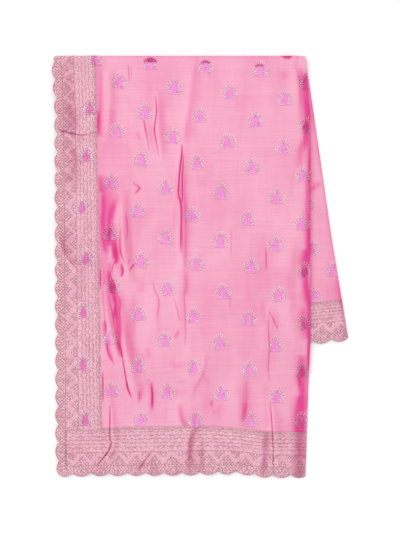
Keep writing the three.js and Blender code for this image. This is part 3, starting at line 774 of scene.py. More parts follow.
class Surface:
    """A Principled material whose colour is made of layers. Its colours are given as 8-bit ones."""

    def __init__(self, name, roughness, metallic=0.0, sheen=0.0, specular=0.5):
        self.material = bpy.data.materials.new(name)
        self.material.use_nodes = True
        self.tree = self.material.node_tree
        self.shader = self.tree.nodes["Principled BSDF"]
        set_inputs(self.shader, {
            "Roughness": roughness,
            "Metallic": metallic,
            "Sheen Weight": sheen,
            "Sheen Roughness": 0.4,
            "Specular IOR Level": specular,
        })
        self.coordinates = self.node("TexCoord").outputs["Object"]
        self.colour = None

    def node(self, kind, values=None):
        """A new node, with some of its inputs set."""
        made = self.tree.nodes.new("ShaderNode" + kind)
        set_inputs(made, values or {})
        return made

    def link(self, start, end):
        self.tree.links.new(start, end)

    def noise(self, scale, detail=3.0):
        """Noise with its own number of cells to a metre in each direction."""
        mapping = self.node("Mapping", {"Scale": scale})
        self.link(self.coordinates, mapping.inputs["Vector"])
        texture = self.node("TexNoise", {"Scale": 1, "Detail": detail})
        self.link(mapping.outputs["Vector"], texture.inputs["Vector"])
        return texture.outputs["Fac"]

    def spread(self, value, low, high, least, most):
        """The value, with low turned into least and high into most."""
        node = self.node("MapRange", {"From Min": low, "From Max": high, "To Min": least, "To Max": most})
        self.link(value, node.inputs["Value"])
        return node.outputs["Result"]

    def combine(self, operation, first, second):
        node = self.node("Math")
        node.operation = operation
        self.link(first, node.inputs[0])
        self.link(second, node.inputs[1])
        return node.outputs[0]

    def base(self, colour):
        node = self.node("RGB")
        node.outputs[0].default_value = srgb(*colour)
        self.colour = node.outputs[0]

    def tint(self, value, low, high, most, colour):
        """Lays a colour over the rest: none of it at low, and the share most at high."""
        factor = self.spread(value, low, high, 0, most)
        mix = self.node("Mix")
        mix.data_type = "RGBA"
        self.link(factor, mix.inputs["Factor"])
        self.link(self.colour, mix.inputs[6])
        mix.inputs[7].default_value = srgb(*colour)
        self.colour = mix.outputs[2]

    def paint_shading(self, shading, crease, ragged):
        """Painted light by the vertex attribute: painted highlight below 0, painted shade up to 1 and the
        darker crease colour up to 2. The ragged noise breaks their outlines.
        """
        attribute = self.node("Attribute")
        attribute.attribute_name = "shading"
        wander = self.spread(ragged, 0.3, 0.7, 0.72, 1.28)
        depth = self.combine("MULTIPLY", attribute.outputs["Fac"], wander)
        self.tint(depth, 0, -1, 1, PALE_SILK_AND_HIGHLIGHT)
        self.tint(depth, 0, 1, 1, shading)
        self.tint(depth, 1, 2, 1, crease)

    def finish(self, heights=(), distance=0.0003, strength=0.5):
        """Joins the colour and the bump, which is the sum of the heights."""
        self.link(self.colour, self.shader.inputs["Base Color"])
        if heights:
            total = heights[0]
            for height in heights[1:]:
                total = self.combine("ADD", total, height)
            bump = self.node("Bump", {"Distance": distance, "Strength": strength})
            self.link(total, bump.inputs["Height"])
            self.link(bump.outputs["Normal"], self.shader.inputs["Normal"])
        return self.material


# Paler silk: the light side of the slubs and clouds, and the painted highlight on lit slopes.
PALE_SILK_AND_HIGHLIGHT = (242, 186, 206)


def silk(name, light, shading, crease):
    """Satin silk: slubs run across it, and painted shade gives its folds and creases a deeper pink."""
    surface = Surface(name, roughness=0.5, sheen=0.06, specular=0.22)
    slub = surface.noise((14, 520, 40))
    yarn = surface.noise((300, 2600, 300), 1.0)
    warp = surface.noise((2600, 260, 300), 1.0)
    cloud = surface.noise((16, 9, 14))
    streak = surface.noise((110, 12, 60), 2.0)
    surface.base(light)
    # The painted shade's pink also tints the slubs, clouds and streaks, as the yarn's own uneven tone.
    surface.tint(slub, 0.5, 0.8, 0.16, shading)
    surface.tint(slub, 0.45, 0.2, 0.3, PALE_SILK_AND_HIGHLIGHT)
    surface.tint(cloud, 0.5, 0.8, 0.3, shading)
    surface.tint(cloud, 0.46, 0.2, 0.5, PALE_SILK_AND_HIGHLIGHT)
    surface.tint(streak, 0.52, 0.85, 0.14, shading)
    surface.paint_shading(shading, crease, streak)
    return surface.finish([slub, yarn, warp], 0.00016, 0.4)


def border_silk():
    """The border's ground under its thread work, mottled with a darker pink, with painted shade in its folds.
    """
    surface = Surface("border_silk", roughness=0.6, sheen=0.05, specular=0.2)
    mottle = surface.noise((70, 45, 60))
    speck = surface.noise((360, 360, 360), 1.0)
    surface.base((226, 167, 185))
    surface.tint(mottle, 0.48, 0.66, 0.55, (208, 130, 158))
    surface.tint(speck, 0.5, 0.6, 0.5, (186, 134, 146))
    surface.tint(speck, 0.48, 0.38, 0.4, (248, 208, 219))
    surface.paint_shading((184, 88, 128), (150, 52, 92), mottle)
    return surface.finish([speck, mottle])


def thread(name, light, shade, shading, roughness, metallic=0.0, fleck=None):
    """Spun thread with a fine twist. Some of its stitches take the fleck's colour, and painted shade gives it
    a deeper colour in the cloth's folds.
    """
    surface = Surface(name, roughness=roughness, metallic=metallic, sheen=0.05, specular=0.3)
    twist = surface.noise((1500, 1500, 1500), 2.0)
    patch = surface.noise((60, 60, 60), 2.0)
    surface.base(light)
    surface.tint(twist, 0.4, 0.7, 0.7, shade)
    surface.tint(patch, 0.45, 0.7, 0.5, shade)
    if fleck:
        surface.tint(surface.noise((190, 190, 190), 2.0), 0.46, 0.58, 0.9, fleck)
    surface.paint_shading(shading, shading, patch)
    return surface.finish([twist], 0.0002, 0.6)


# The last two colours of each silk are its painted shade in a fold and in a closed crease; a thread's last
# colour is its painted shade.
FIELD_SILK = silk("pink_silk", (231, 159, 186), (218, 64, 138), (168, 22, 82))
LAYER_SILK = silk("layer_silk", (228, 152, 180), (200, 66, 126), (160, 36, 90))
BORDER_SILK = border_silk()
SILVER = thread("silver_thread", (168, 150, 132), (140, 102, 114), (134, 72, 98), 0.5, 0.1)
NET = thread("net_thread", (174, 142, 136), (156, 114, 124), (130, 68, 94), 0.6)
ROSE = thread("rose_thread", (252, 204, 220), (240, 182, 202), (214, 112, 156), 0.5)
PALE = thread("pale_thread", (255, 246, 250), (236, 212, 226), (222, 160, 184), 0.45, 0.05, (214, 150, 190))
VEIN = thread("vein_thread", (196, 140, 168), (166, 112, 144), (120, 44, 80), 0.5, 0, (226, 150, 196))
LILAC = thread("lilac_thread", (252, 158, 226), (242, 138, 212), (204, 62, 132), 0.45, 0, (232, 150, 208))
ORCHID = thread("orchid_thread", (240, 166, 220), (226, 146, 204), (206, 76, 142), 0.45, 0, (214, 140, 190))
SEQUIN = thread("sequin", (250, 246, 248), (224, 214, 222), (214, 160, 188), 0.25, 0.3)

# ---------------------------------------------------------------- the cloth pieces

WRAP_LINES = lines((0, SHOULDER, 4), (SHOULDER, WRAP_END, 9))[1:]
ROLL_LINES = lines((0, ROLL_ARC, 13))[1:]
BORDER_LINES = lines((0, 1, 44))
SCALLOP_STEPS = 18  # grid steps over one scallop

# Columns of the front field at their usual x, closer together where its creases are.
FIELD_COLUMNS = lines(
    (-161, -112, 49), (-112, -92, 14), (-92, -62, 25), (-62, -42, 6), (-42, -22, 20), (-22, 44, 15),
    (44, 52, 5), (52, 102, 12), (102, 122, 18), (122, 157, 11),
)
STEADY = 140  # columns nearer the middle than this run straight up


def over_roll(p, q):
    """A grid of flat coordinates, carried on round the top fold."""
    p = np.hstack([p] + [p[:, -1:]] * len(ROLL_LINES))
    return p, np.hstack([q] + [q[:, -1:] + past for past in ROLL_LINES])


def front_field():
    up = lines((0, 0.93, 220), (0.93, 1, 22))
    level = lerp(HEM_SEAM_Y, ROLL_Y, up)
    fold = fold_start(RIGHT_FOLD, level)
    left = look_up(LEFT_SEAM, level) + SEAM / 2
    usual = [FIELD_COLUMNS[0], -STEADY, STEADY, FIELD_COLUMNS[-1]]
    flat = [np.interp(FIELD_COLUMNS, usual, (a, -STEADY, STEADY, b)) for a, b in zip(left, fold)]
    p = np.vstack([np.stack(flat, 1)] + [fold + past for past in WRAP_LINES])
    low = hem_seam_y(np.minimum(p, fold)) + SEAM / 2
    p, q = over_roll(p, lerp(low, ROLL_Y, up))
    return shell("front_silk", p, q, front_face, front_shading, FIELD_SILK)


def edge_places(start, end):
    """Lengths along the scalloped edge, with its notches among them."""
    notches = [0.0]
    while notches[-1] < max(abs(start), abs(end)):
        notches.append(CORNER_LOBE + SCALLOP_PITCH * (len(notches) - 1))
    notches = sorted({-n for n in notches if n} | {n for n in notches if n})
    stops = [start] + [n for n in notches if start + 1 < n < end - 1] + [end]
    pieces = []
    for low, high in zip(stops, stops[1:]):
        pieces.append((low, high, max(1, round((high - low) / SCALLOP_PITCH * SCALLOP_STEPS))))
    return lines(*pieces)


def end_border():
    places = edge_places(side_length(HEM_SEAM_Y + SEAM / 2), side_length(ROLL_Y))
    x, y = scalloped_edge(-places)
    seam = look_up(LEFT_SEAM, y) - SEAM / 2
    p = np.vstack([lerp(x, seam, s) for s in BORDER_LINES])
    p, q = over_roll(p, np.broadcast_to(y, p.shape))
    return shell("end_border_cloth", p, q, front_face, border_shading, BORDER_SILK)


FAN_RADIUS = 0.1  # the grid lines of the mitred corner meet on an arc of this radius
CORNER_BLEND = 130  # and over this length the hem's lean less and less


def front_hem():
    start = -side_length(HEM_SEAM_Y - SEAM / 2)
    fold = hem_length(RIGHT_FOLD[0][1] - WRAP_WIDTH)
    arc = lines((fold + SHOULDER, fold + WRAP_END, 9))[1:]
    places = np.concatenate([edge_places(start, fold + SHOULDER), arc])
    x, y = scalloped_edge(places)
    turned = float(scalloped_edge(0.0)[0])
    turn = math.pi / 4 * (1 - np.minimum(places, 0) / start)
    blend = np.clip((x - turned) / CORNER_BLEND, 0, 1)
    upright = turned + CORNER_BLEND
    seam_p = np.where(x < upright, lerp(HEM_CORNER, upright, blend), x)
    seam_q = hem_seam_y(seam_p) - SEAM / 2
    beside = places <= 0
    seam_p = np.where(beside, HEM_CORNER - FAN_RADIUS * np.cos(turn), seam_p)
    seam_q = np.where(beside, HEM_SEAM_Y - SEAM / 2 - FAN_RADIUS * np.sin(turn), seam_q)
    p = np.stack([lerp(x, seam_p, s) for s in BORDER_LINES], 1)
    q = np.stack([lerp(y, seam_q, s) for s in BORDER_LINES], 1)
    return shell("front_hem_cloth", p, q, front_face, border_shading, BORDER_SILK)


BACK_COLUMNS = 44


def back_columns(q):
    """Columns of the back leaf at q: from under the front leaf to the right fold and round it."""
    left = look_up(RIGHT_FOLD, q) - TUCK
    fold = fold_start(BACK_FOLD, q)
    flat = [lerp(left, fold, i / BACK_COLUMNS) for i in range(BACK_COLUMNS + 1)]
    return np.stack(flat + [fold + past for past in WRAP_LINES])


def back_across(q):
    """p for a grid of q with one row for each column of the back leaf."""
    return np.stack([back_columns(row)[number] for number, row in enumerate(q)])


def back_grid(heights):
    """Flat coordinates at heights above the line of the back leaf's scallop tips."""
    q = np.broadcast_to(BACK_TIPS_Y + heights, (BACK_COLUMNS + 1 + len(WRAP_LINES), len(heights)))
    for _ in range(3):
        p = back_across(q)
        q = back_tips_y(p) + heights
    return p, q


def back_field():
    _, low = back_grid(np.array([BACK_BORDER + SEAM / 2]))
    q = lerp(low, BACK_FIELD_TOP, lines((0, 1, 120))[None])
    return shell("back_silk", back_across(q), q, back_face, back_shading, FIELD_SILK)


def back_hem():
    share = lines((0, 1, 40))
    p, q = back_grid(share * (BACK_BORDER - SEAM / 2))
    q = q + scallop_inset((p - BACK_TIPS_X) / SCALLOP_PITCH) * (1 - share)
    return shell("back_hem_cloth", p, q, back_face, back_shading, BORDER_SILK)


# ---------------------------------------------------------------- the hidden layers

STRATA = 6
STRATUM_STEPS = 4
LAYER_WAVES = np.random.default_rng(5).uniform(0, 1, (STRATA + 1, 4))
LAYER_WANDER, LAYER_TREMBLE = 1.3, 0.5  # heights of an edge's slow and quick waves
LAYER_STEP = 1.2  # every other layer's edge lies this far in
LAYER_REACH = 4  # how far the layers' edges run on under the hem
LAYER_SCALLOP = 0.7  # depth of their scallops, as a share of the hem's
LAYER_SHIFT = 9  # from one layer's scallops to the next one's
LAYER_SCALLOPS_END = (130, 150)
# Painted shade between two layers, and how much less of it their lit, rounded edges take.
LAYER_SHADE, LAYER_LIT = 0.75, 0.55  # between two layers, and how much less on their edges


def waver(stratum, along):
    """How far the edge of one layer wanders, in millimetres."""
    a, b, c, d = LAYER_WAVES[stratum]
    slow = np.sin(2 * math.pi * (along / (150 + 90 * a) + b))
    quick = np.sin(2 * math.pi * (along / (45 + 30 * c) + d))
    return LAYER_WANDER * slow + LAYER_TREMBLE * quick - LAYER_STEP * (stratum % 2)


def folded_layers():
    """The hidden layers of both leaves: one thick strip, layered at its edges, that turns at the top fold."""
    u = lines((0, 0.06, 4), (0.06, 0.95, 18), (0.95, 1, 4))[:, None]
    front_end = lambda y: fold_start(RIGHT_FOLD, y)
    back_end = lambda y: fold_start(BACK_FOLD, y)
    hem, inner_roll = -HALF_LENGTH + INSET_HEM, ROLL_Y - ROLL_PIVOT

    place = lines((0, 1, 200))[None]
    y, inner_y = lerp(hem, ROLL_Y, place), lerp(hem, inner_roll, place)
    x = lerp(look_up(LEFT_TIPS, y) + INSET_LEFT, front_end(y), u)
    rise = TURN_ROOM * smoothstep(x, front_end(y) - UNDER_TURN, front_end(y))
    inner = [as_points(x, inner_y, LIFT - descent(x, inner_y) + rise)]
    outer = [as_points(x, y, LIFT - descent(x, y) + STACK)]

    share = lines((0, 1, 14))[None, 1:]
    radius = ROLL_RADIUS - WALL - GAP
    x = lerp(look_up(LEFT_TIPS, ROLL_Y) + INSET_LEFT, front_end(ROLL_Y), u)
    turn = math.pi * share
    inner.append(as_points(x, inner_roll, lerp(LIFT, STACK, share)))
    rolled = (ROLL_Y + radius * np.sin(turn), ROLL_RADIUS + radius * np.cos(turn))
    outer.append(as_points(x, *rolled))

    place = lines((0, 1, 130))[None, 1:]
    end = back_tips_y(lerp(back_left(BACK_TIPS_Y), BACK_TIPS_X, u)) + INSET_HEM
    y = lerp(ROLL_Y, end, place)
    x = lerp(back_left(y) + INSET_LEFT, back_end(y), u)
    under_roll = smoothstep(y, ROLL_Y - 2 * UNDER_TURN, ROLL_Y - UNDER_TURN)
    under_fold = smoothstep(x, back_end(y) - UNDER_TURN, back_end(y))
    inner.append(as_points(x, lerp(inner_roll, end, place), STACK))
    outer.append(as_points(x, y, TURN_ROOM * np.maximum(under_roll, under_fold)))

    inner, outer = np.hstack(inner), np.hstack(outer)
    levels = STRATA * STRATUM_STEPS
    share = np.arange(levels + 1) / levels
    points = inner[:, :, None] + (outer - inner)[:, :, None] * share[:, None]
    for level in range(levels + 1):
        stratum, part = divmod(level, STRATUM_STEPS)
        nose = LAYER_NOSE * math.sin(math.pi * part / STRATUM_STEPS)
        layer = points[:, :, level]
        layer[0, :, 0] -= nose + waver(stratum, layer[0, :, 1])
        inset = scallop_inset((layer[:, 0, 0] + LAYER_SHIFT * stratum) / SCALLOP_PITCH)
        scallops = LAYER_REACH - inset * LAYER_SCALLOP
        layer[:, 0, 1] -= (nose + scallops) * (1 - smoothstep(layer[:, 0, 0], *LAYER_SCALLOPS_END))
        layer[:, -1, 1] -= nose
        bulge = math.sqrt(max(0, 1 - (2 * share[level] - 1) ** 2))
        closed = 1 - smoothstep(layer[-1, :, 1], FOLD_FADE[0], ROLL_Y - WRAP_WIDTH)
        layer[-1, :, 0] += bulge * closed * (FOLD_FILL * WRAP_WIDTH - LAYER_NOSE + nose)
    # Painted shade: deepest where two layers meet, least on their rounded edges.
    groove = np.abs(np.sin(math.pi * STRATA * share))
    shading = np.broadcast_to(LAYER_SHADE - LAYER_LIT * groove, points.shape[:3])
    return brick("folded_silk", points, LAYER_SILK, shading)


# ---------------------------------------------------------------- the borders' embroidery

# Bands of a border that is 75 mm wide, measured from the line of its scallop tips.
NOMINAL_WIDTH = 75
OUTER_LINE = 17
ZIGZAG = (20.5, 36.5)
MIDDLE_LINE = 39.2
MIDDLE_EDGE = 1.4  # from the middle line to the fine line beside it
CHEVRON_ROWS = [44 + 5.8 * i for i in range(5)]
CHEVRON_PITCH = 11
CHEVRON_HEIGHT = 2.4
ROSE_ROW = 2.8  # from a silver chevron row to the rose one beside it
SEAM_LINE = 72.3
DOUBLE = 0.95  # from the middle of a double line to each of its lines
CORNER_CLEAR = 2.5  # from the corner's double line to the hem's bands
PATH_STEP = 1.5
LINE_STITCH = (2.3, 0.35, 1.25, 0.6)  # length, gap, width and height
ROW_STITCH = (2.2, 0.6, 2.0, 0.6)
FINE_STITCH = (1.6, 0.6, 1.25, 0.5)
CHEVRON_STITCH = (2.0, 0.5, 1.05, 0.5)
# Straight lines along the border: distance from the tips, thread and stitch.
STRAIGHT_LINES = [
    (OUTER_LINE, "silver", FINE_STITCH),
    (MIDDLE_LINE - MIDDLE_EDGE, "silver", FINE_STITCH),
    (MIDDLE_LINE, "rose", ROW_STITCH),
    (SEAM_LINE - DOUBLE, "silver", LINE_STITCH),
    (SEAM_LINE + DOUBLE, "silver", LINE_STITCH),
]
ZIGZAG_HALF = 3.0  # half the length of its stitches
ZIGZAG_STITCH = (1.5, 1.7, 0.8)  # spacing, width and height
# The satin over the scalloped edge: spacing, where it starts and ends inside the edge, width and height.
SCALLOP_STITCH = (1.6, 0.1, 1.9, 0.9, 0.5)
# The net between the scalloped edge and the middle line: short stitches in rows, each row half a pitch on.
NET_PITCH = 4.8
NET_STITCH = (1.3, 2.1, 0.5)  # half the length, width and height
NET_ROWS = [3.4 + 2.7 * i for i in range(13)]
NET_MARGIN = 2.4  # clear of the scalloped edge
NET_CLEAR = 0.4  # clear of the zigzag
NET_SCATTER = 0.6
NET_VARIED = np.random.default_rng(23)

# Places of notches, which the zigzag's outer points meet: y on the left side and x on the hem.
SIDE_PHASE = -HALF_LENGTH + CORNER_RADIUS - HALF_ARC + CORNER_LOBE
HEM_PHASE = LEFT_TIPS[0][1] + CORNER_RADIUS - HALF_ARC + CORNER_LOBE
# The back leaf's side fold leans in above its tips, so its bands stop short of it.
BACK_LINES_SHORT, BACK_BANDS_SHORT = 8, 4
BACK_WORK_TUCK = TUCK - 2  # how far its thread work runs on under the front leaf

THREADS = {"silver": SILVER, "rose": ROSE, "net": NET}


def new_work():
    """Lists of rows of stitches, one list for each thread of a border."""
    return {kind: [] for kind in THREADS}


# Each of these gives flat coordinates for a length s along a border and a distance d from its scallop tips.


def on_left(s, d):
    tips = look_up(LEFT_TIPS, s)
    return tips + d * (look_up(LEFT_SEAM, s) - tips) / NOMINAL_WIDTH, s


def on_hem(s, d):
    tips = hem_tips_y(s)
    return s, tips + d * (hem_seam_y(s) - tips) / NOMINAL_WIDTH


def on_back(s, d):
    return s, back_tips_y(s) + d * BACK_BORDER / NOMINAL_WIDTH


def sew_line(work, kind, place, s, d, stitch):
    """One line of stitches, where place is one of the three above."""
    work[kind].append(stitch_line(as_points(*place(s, d)), *stitch))


def straight_band(work, place, start, end):
    """The straight lines and the five waved rows that run along a border."""
    s = np.arange(start, end, PATH_STEP)
    for line, kind, stitch in STRAIGHT_LINES:
        sew_line(work, kind, place, s, line, stitch)
    for number, row in enumerate(CHEVRON_ROWS):
        wave = CHEVRON_HEIGHT * (2 * np.abs((s / CHEVRON_PITCH + 0.5 * number) % 1 - 0.5))
        sew_line(work, "silver", place, s, row + wave, CHEVRON_STITCH)
        sew_line(work, "rose", place, s, row + ROSE_ROW + wave, ROW_STITCH)


def zigzag_band(work, place, start, end, phase):
    """A satin zigzag: stitches side by side, each across its line."""
    half = SCALLOP_PITCH / 2
    slope = math.hypot(half, ZIGZAG[1] - ZIGZAG[0])
    spacing, width, height = ZIGZAG_STITCH
    for number in range(math.floor((start - phase) / half), math.ceil((end - phase) / half)):
        d0, d1 = ZIGZAG if number % 2 == 0 else ZIGZAG[::-1]
        across, along = (d0 - d1) / slope * ZIGZAG_HALF, half / slope * ZIGZAG_HALF
        for reach in np.arange(spacing / 2, slope, spacing):
            t = reach / slope
            s, d = phase + number * half + half * t, lerp(d0, d1, t)
            if start < s < end:
                a, b = place(s - across, d - along), place(s + across, d + along)
                work["rose"].append(stitches(*a, *b, width, height))


def zigzag_centre(s, phase):
    """Distance of the zigzag's middle from the scallop tips."""
    turns = (s - phase) / SCALLOP_PITCH
    return lerp(*ZIGZAG, 2 * np.abs(turns - np.round(turns)))


def net_band(work, place, inward, rows, start, end, phase):
    """The net, which leaves out the zigzag. inward(p, q) is the distance inside the scalloped edge."""
    half, width, height = NET_STITCH
    steep = math.cos(math.atan2(ZIGZAG[1] - ZIGZAG[0], SCALLOP_PITCH / 2))
    for number, d in enumerate(rows):
        s = np.arange(start, end - 2 * half, NET_PITCH) + NET_PITCH / 2 * (number % 2)
        clear = np.abs(d - zigzag_centre(s, phase)) * steep > ZIGZAG_HALF + NET_CLEAR
        s = s[clear & (inward(*place(s, d)) > NET_MARGIN)]
        s += NET_VARIED.normal(0, NET_SCATTER, s.shape)
        work["net"].append(stitches(*place(s - half, d), *place(s + half, d), width, height))


def front_inward(x, y):
    """How far a place lies inside the front leaf's scalloped edge."""
    tips = look_up(LEFT_TIPS, y)
    beside = x - tips - scallop_inset(front_lobes(side_length(np.minimum(y, ROLL_Y))))
    below = y - hem_tips_y(x) - scallop_inset(front_lobes(hem_length(x)))
    right, up = x - tips - CORNER_RADIUS, y + HALF_LENGTH - CORNER_RADIUS
    along = (np.arctan2(-up, -right) - math.pi / 4) * CORNER_RADIUS
    rounded = CORNER_RADIUS - scallop_inset(front_lobes(along)) - np.hypot(right, up)
    return np.where((right < 0) & (up < 0), rounded, np.minimum(beside, below))


def back_inward(x, y):
    return y - back_edge_y(x)


def scallop_band(work, edge, start, end):
    """Satin stitches over the scalloped edge. edge(s, inward) gives its flat points."""
    spacing, outer, inner, width, height = SCALLOP_STITCH
    s = np.arange(start, end, spacing)
    work["silver"].append(stitches(*edge(s, outer), *edge(s, inner), width, height))


def left_work():
    work = new_work()
    low, high = HEM_SEAM_Y + 0.5, ROLL_Y + ROLL_WORKED
    straight_band(work, on_left, low, high)
    zigzag_band(work, on_left, low, high, SIDE_PHASE)
    edge = lambda s, inward: scalloped_edge(-s, inward)
    scallop_band(work, edge, side_length(low), side_length(ROLL_Y))
    net_band(work, on_left, front_inward, NET_ROWS, low, high, SIDE_PHASE)
    return work


def hem_work():
    work = new_work()
    fold = RIGHT_FOLD[0][1] - WRAP_WIDTH
    low, high = LEFT_TIPS[0][1] + OUTER_LINE + CORNER_CLEAR, fold + WRAP_WORKED
    straight_band(work, on_hem, low, high)
    zigzag_band(work, on_hem, low, high, HEM_PHASE)
    net_band(work, on_hem, front_inward, NET_ROWS, low, high, HEM_PHASE)
    corner_y = np.arange(-HALF_LENGTH + OUTER_LINE, HEM_SEAM_Y, PATH_STEP)
    for line in (OUTER_LINE - DOUBLE, OUTER_LINE + DOUBLE):
        sew_line(work, "silver", on_left, corner_y, line, LINE_STITCH)
    corner_rows = [d for d in NET_ROWS if d < OUTER_LINE]
    net_band(work, on_left, front_inward, corner_rows, -HALF_LENGTH, HEM_SEAM_Y, SIDE_PHASE)
    scallop_band(work, scalloped_edge, -side_length(HEM_SEAM_Y), hem_length(fold) + WRAP_WORKED)
    return work


def back_work():
    work = new_work()
    low = float(look_up(RIGHT_FOLD, BACK_TIPS_Y)) - BACK_WORK_TUCK
    high = BACK_TIPS_X - WRAP_WIDTH + WRAP_WORKED
    straight_band(work, on_back, low, high - BACK_LINES_SHORT)
    zigzag_band(work, on_back, low, high - BACK_BANDS_SHORT, BACK_TIPS_X)
    net_band(work, on_back, back_inward, NET_ROWS, low, high - BACK_BANDS_SHORT, BACK_TIPS_X)
    scallop_band(work, lambda s, inward: (s, back_edge_y(s) + inward), low, high)
    return work


def embroider(prefix, work, face, shading):
    made = []
    for kind, rows in work.items():
        made.append(add_stitches(f"{prefix}_{kind}_thread", np.vstack(rows), face, shading, THREADS[kind]))
    return made


# ---------------------------------------------------------------- the buds

BUD_LOW, BUD_HIGH, BUD_HALF_WIDTH = -10.5, 9.0, 6.0
BUD_SHAPE = (0.62, 0.8)  # how low a bud's widest place is, and how full its sides
BUD_TIP = 3.0  # the bud is paler above this
# The satin of a bud: stitches that rise from just past its middle line to its outline.
SATIN_SPACING = 1.2
SATIN_RISE = 1.6
SATIN_PAST, SATIN_DIP = 1.1, 0.2
SATIN_STITCH = (1.9, 0.6)  # width and height
# Leaves on the right of a bud: root, bend and tip. They are mirrored on its left.
BUD_LEAVES = [
    [(2.4, -9.0), (6.8, -10.4), (9.2, -8.0)],
    [(4.4, -6.4), (9.6, -7.6), (11.8, -4.2)],
    [(5.2, -3.2), (9.8, -3.8), (12.4, 0.2)],
    [(5.0, 0.2), (8.8, 0.2), (11.0, 4.2)],
    [(4.2, 3.4), (7.2, 4.2), (8.6, 8.2)],
    [(2.8, 6.6), (4.8, 8.2), (5.2, 11.6)],
    [(0.9, 8.8), (2.0, 11.2), (1.7, 14.0)],
]
LOOSE_SEQUINS = [(7.7, -0.2), (9.5, -3.7)]  # between the leaves, and mirrored as they are
LEAF_STITCH = (2.4, 0.4, 1.75, 0.55)
VEIN_STITCH = (2.0, 0.5, 1.15, 0.5)
VEIN_BELOW = (0.3, -1.5)  # from a leaf to the dark vein under it
BUD_TURN, BUD_SIZE = 0.07, 0.03  # how much the copies differ


def bud_half_width(v):
    low, full = BUD_SHAPE
    share = np.clip((v - BUD_LOW) / (BUD_HIGH - BUD_LOW), 0, 1)
    return BUD_HALF_WIDTH * np.sin(math.pi * share**low) ** full


def bend(root, middle, tip, steps=7):
    t = np.linspace(0, 1, steps)[:, None]
    a, b, c = (np.array(point, float) for point in (root, middle, tip))
    return a * (1 - t) ** 2 + 2 * b * t * (1 - t) + c * t**2


def bud_motif():
    """One bud's stitches for each thread and its sequins, in millimetres round its middle."""
    body, tip, pale, vein, sequins = [], [], [], [], []
    for side in (-1, 1):
        for v in np.arange(BUD_LOW + SATIN_DIP, BUD_HIGH - SATIN_RISE, SATIN_SPACING):
            top = v + SATIN_RISE
            outline = side * bud_half_width(top)
            row = stitches(-SATIN_PAST * side, v - SATIN_DIP, outline, top, *SATIN_STITCH)
            (tip if v > BUD_TIP else body).append(row)
        for points in BUD_LEAVES:
            leaf = bend(*((side * x, y) for x, y in points))
            pale.append(stitch_line(leaf, *LEAF_STITCH))
            vein.append(stitch_line(leaf + (side * VEIN_BELOW[0], VEIN_BELOW[1]), *VEIN_STITCH))
            sequins.append(leaf[-1])
        sequins += [(side * x, y) for x, y in LOOSE_SEQUINS]
    return [np.vstack(rows) for rows in (body, tip, pale, vein)], np.array(sequins)


def place_motif(rows, columns, centre, turn, size):
    """A copy of the rows with its points turned, sized and moved. columns are the indices of each x."""
    made = rows.copy()
    for column in columns:
        u, v = rows[:, column] * size, rows[:, column + 1] * size
        made[:, column] = centre[0] + u * math.cos(turn) - v * math.sin(turn)
        made[:, column + 1] = centre[1] + u * math.sin(turn) + v * math.cos(turn)
    return made


BACK_SHOWN = 3  # how far under the front leaf the back leaf's buds run on


def front_worked(p, q):
    """Whether a place is in sight and not under the side fold."""
    return p < fold_start(RIGHT_FOLD, q) + WRAP_WORKED


def back_worked(p, q):
    """Whether a place on the back leaf is clear of its side fold and of the front leaf over it."""
    return (p < fold_start(BACK_FOLD, q) + WRAP_WORKED) & (p > look_up(RIGHT_FOLD, q) - BACK_SHOWN)


def front_bud_places():
    places = []
    for row in BUD_ROWS:
        left, span = BORDER_ROW if row.fold_bud else FIELD_ROW
        for number in range(BUDS_IN_ROW):
            along = BUD_PITCH * number
            places.append((left + along + row.shift, row.y - row.fall * along / span))
        if row.fold_bud:
            places.append(row.fold_bud)
    return places


# Each kind of thread and how much deeper it is on the border.
BUD_THREADS = {"body": (LILAC, 0.45), "tip": (ORCHID, 0.45), "leaves": (PALE, 0), "veins": (VEIN, 0.4)}


def add_buds(prefix, places, face, shading, worked):
    threads, sequins = bud_motif()
    varied = np.random.default_rng(17)
    copies = [[] for _ in threads]
    spots = []
    for centre in places:
        turn, size = varied.normal(0, BUD_TURN), varied.normal(1, BUD_SIZE)
        for made, rows in zip(copies, threads):
            made.append(place_motif(rows, (0, 2), centre, turn, size))
        spots.append(place_motif(sequins, (0,), centre, turn, size))
    made = []
    for (kind, (material, border_shade)), rows in zip(BUD_THREADS.items(), copies):
        rows = np.vstack(rows)
        rows = rows[worked(rows[:, 0], rows[:, 1]) & worked(rows[:, 2], rows[:, 3])]
        shade = lambda p, q: np.clip(shading(p, q) + border_shade * (p < look_up(LEFT_SEAM, q)), -1, 2)
        made.append(add_stitches(f"{prefix}_bud_{kind}", rows, face, shade, material))
    spots = np.vstack(spots)
    spots = spots[worked(spots[:, 0], spots[:, 1])]
    made.append(add_sequins(prefix + "_bud_sequins", spots, face, shading, SEQUIN))
    return made


# ---------------------------------------------------------------- floor, light and camera


FLOOR_HALF = 4.0
FLOOR_DROP = 0.0002  # keeps it clear of the cloth's underside


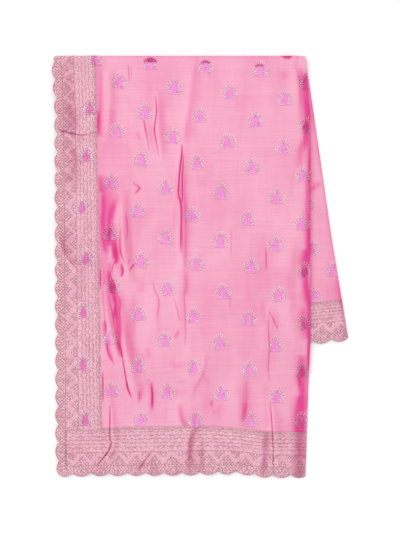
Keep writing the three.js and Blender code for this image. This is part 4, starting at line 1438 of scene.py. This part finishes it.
def add_floor():
    surface = Surface("pale_floor", roughness=0.9, specular=0.1)
    surface.base((252, 252, 252))
    surface.tint(surface.noise((40, 40, 40), 2.0), 0.3, 0.7, 0.2, (249, 249, 250))
    corners = [(x * FLOOR_HALF, y * FLOOR_HALF, 0) for x, y in ((-1, -1), (1, -1), (1, 1), (-1, 1))]
    mesh = bpy.data.meshes.new("floor")
    mesh.from_pydata(corners, [], [[0, 1, 2, 3]])
    mesh.materials.append(surface.finish())
    floor = add_object("floor", mesh)
    floor.location.z = -FLOOR_DROP


KEY_PLACE = (-0.5, 0.6, 2.4)
KEY_SIZE = 2.0
KEY_POWER = 22
WORLD_STRENGTH = 0.88


def add_key_light():
    data = bpy.data.lights.new("key", "AREA")
    data.size = KEY_SIZE
    data.energy = KEY_POWER
    light = add_object("key", data)
    light.location = KEY_PLACE
    x, y, z = (-v for v in KEY_PLACE)
    light.rotation_euler = (math.atan2(math.hypot(x, y), -z), 0, math.atan2(y, x) - math.pi / 2)


def add_world():
    world = bpy.data.worlds.new("studio")
    world.use_nodes = True
    set_inputs(world.node_tree.nodes["Background"], {"Color": (1, 1, 1, 1), "Strength": WORLD_STRENGTH})
    bpy.context.scene.world = world


# The image, 400 by 533, shows 0.64 by 0.8528 m of the floor from straight above.
VIEW_HEIGHT = 0.8528
VIEW_CENTRE = (-0.0008, 0.0008)
LENS, SENSOR = 85, 36


def add_camera():
    data = bpy.data.cameras.new("camera")
    data.lens = LENS
    data.sensor_width = SENSOR
    camera = add_object("camera", data)
    camera.location = (*VIEW_CENTRE, VIEW_HEIGHT * LENS / SENSOR + FRONT_TOP * MM / 2)
    bpy.context.scene.camera = camera


# ---------------------------------------------------------------- the scene

add_camera()
add_world()
add_key_light()
add_floor()
bpy.context.scene.view_settings.view_transform = "Standard"

front = front_field()
left = end_border()
hem = front_hem()
back = back_field()
back_edge = back_hem()
layers = folded_layers()
left_threads = embroider("end_border", left_work(), front_face, border_shading)
hem_threads = embroider("front_hem", hem_work(), front_face, border_shading)
back_threads = embroider("back_hem", back_work(), back_face, back_shading)
front_buds = add_buds("front", front_bud_places(), front_face, front_shading, front_worked)
back_buds = add_buds("back", BACK_BUDS, back_face, back_shading, back_worked)

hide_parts("front_field")
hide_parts("end_border")
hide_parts("front_hem_border")
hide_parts("back_field")
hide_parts("back_hem_border")
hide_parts("folded_layers")
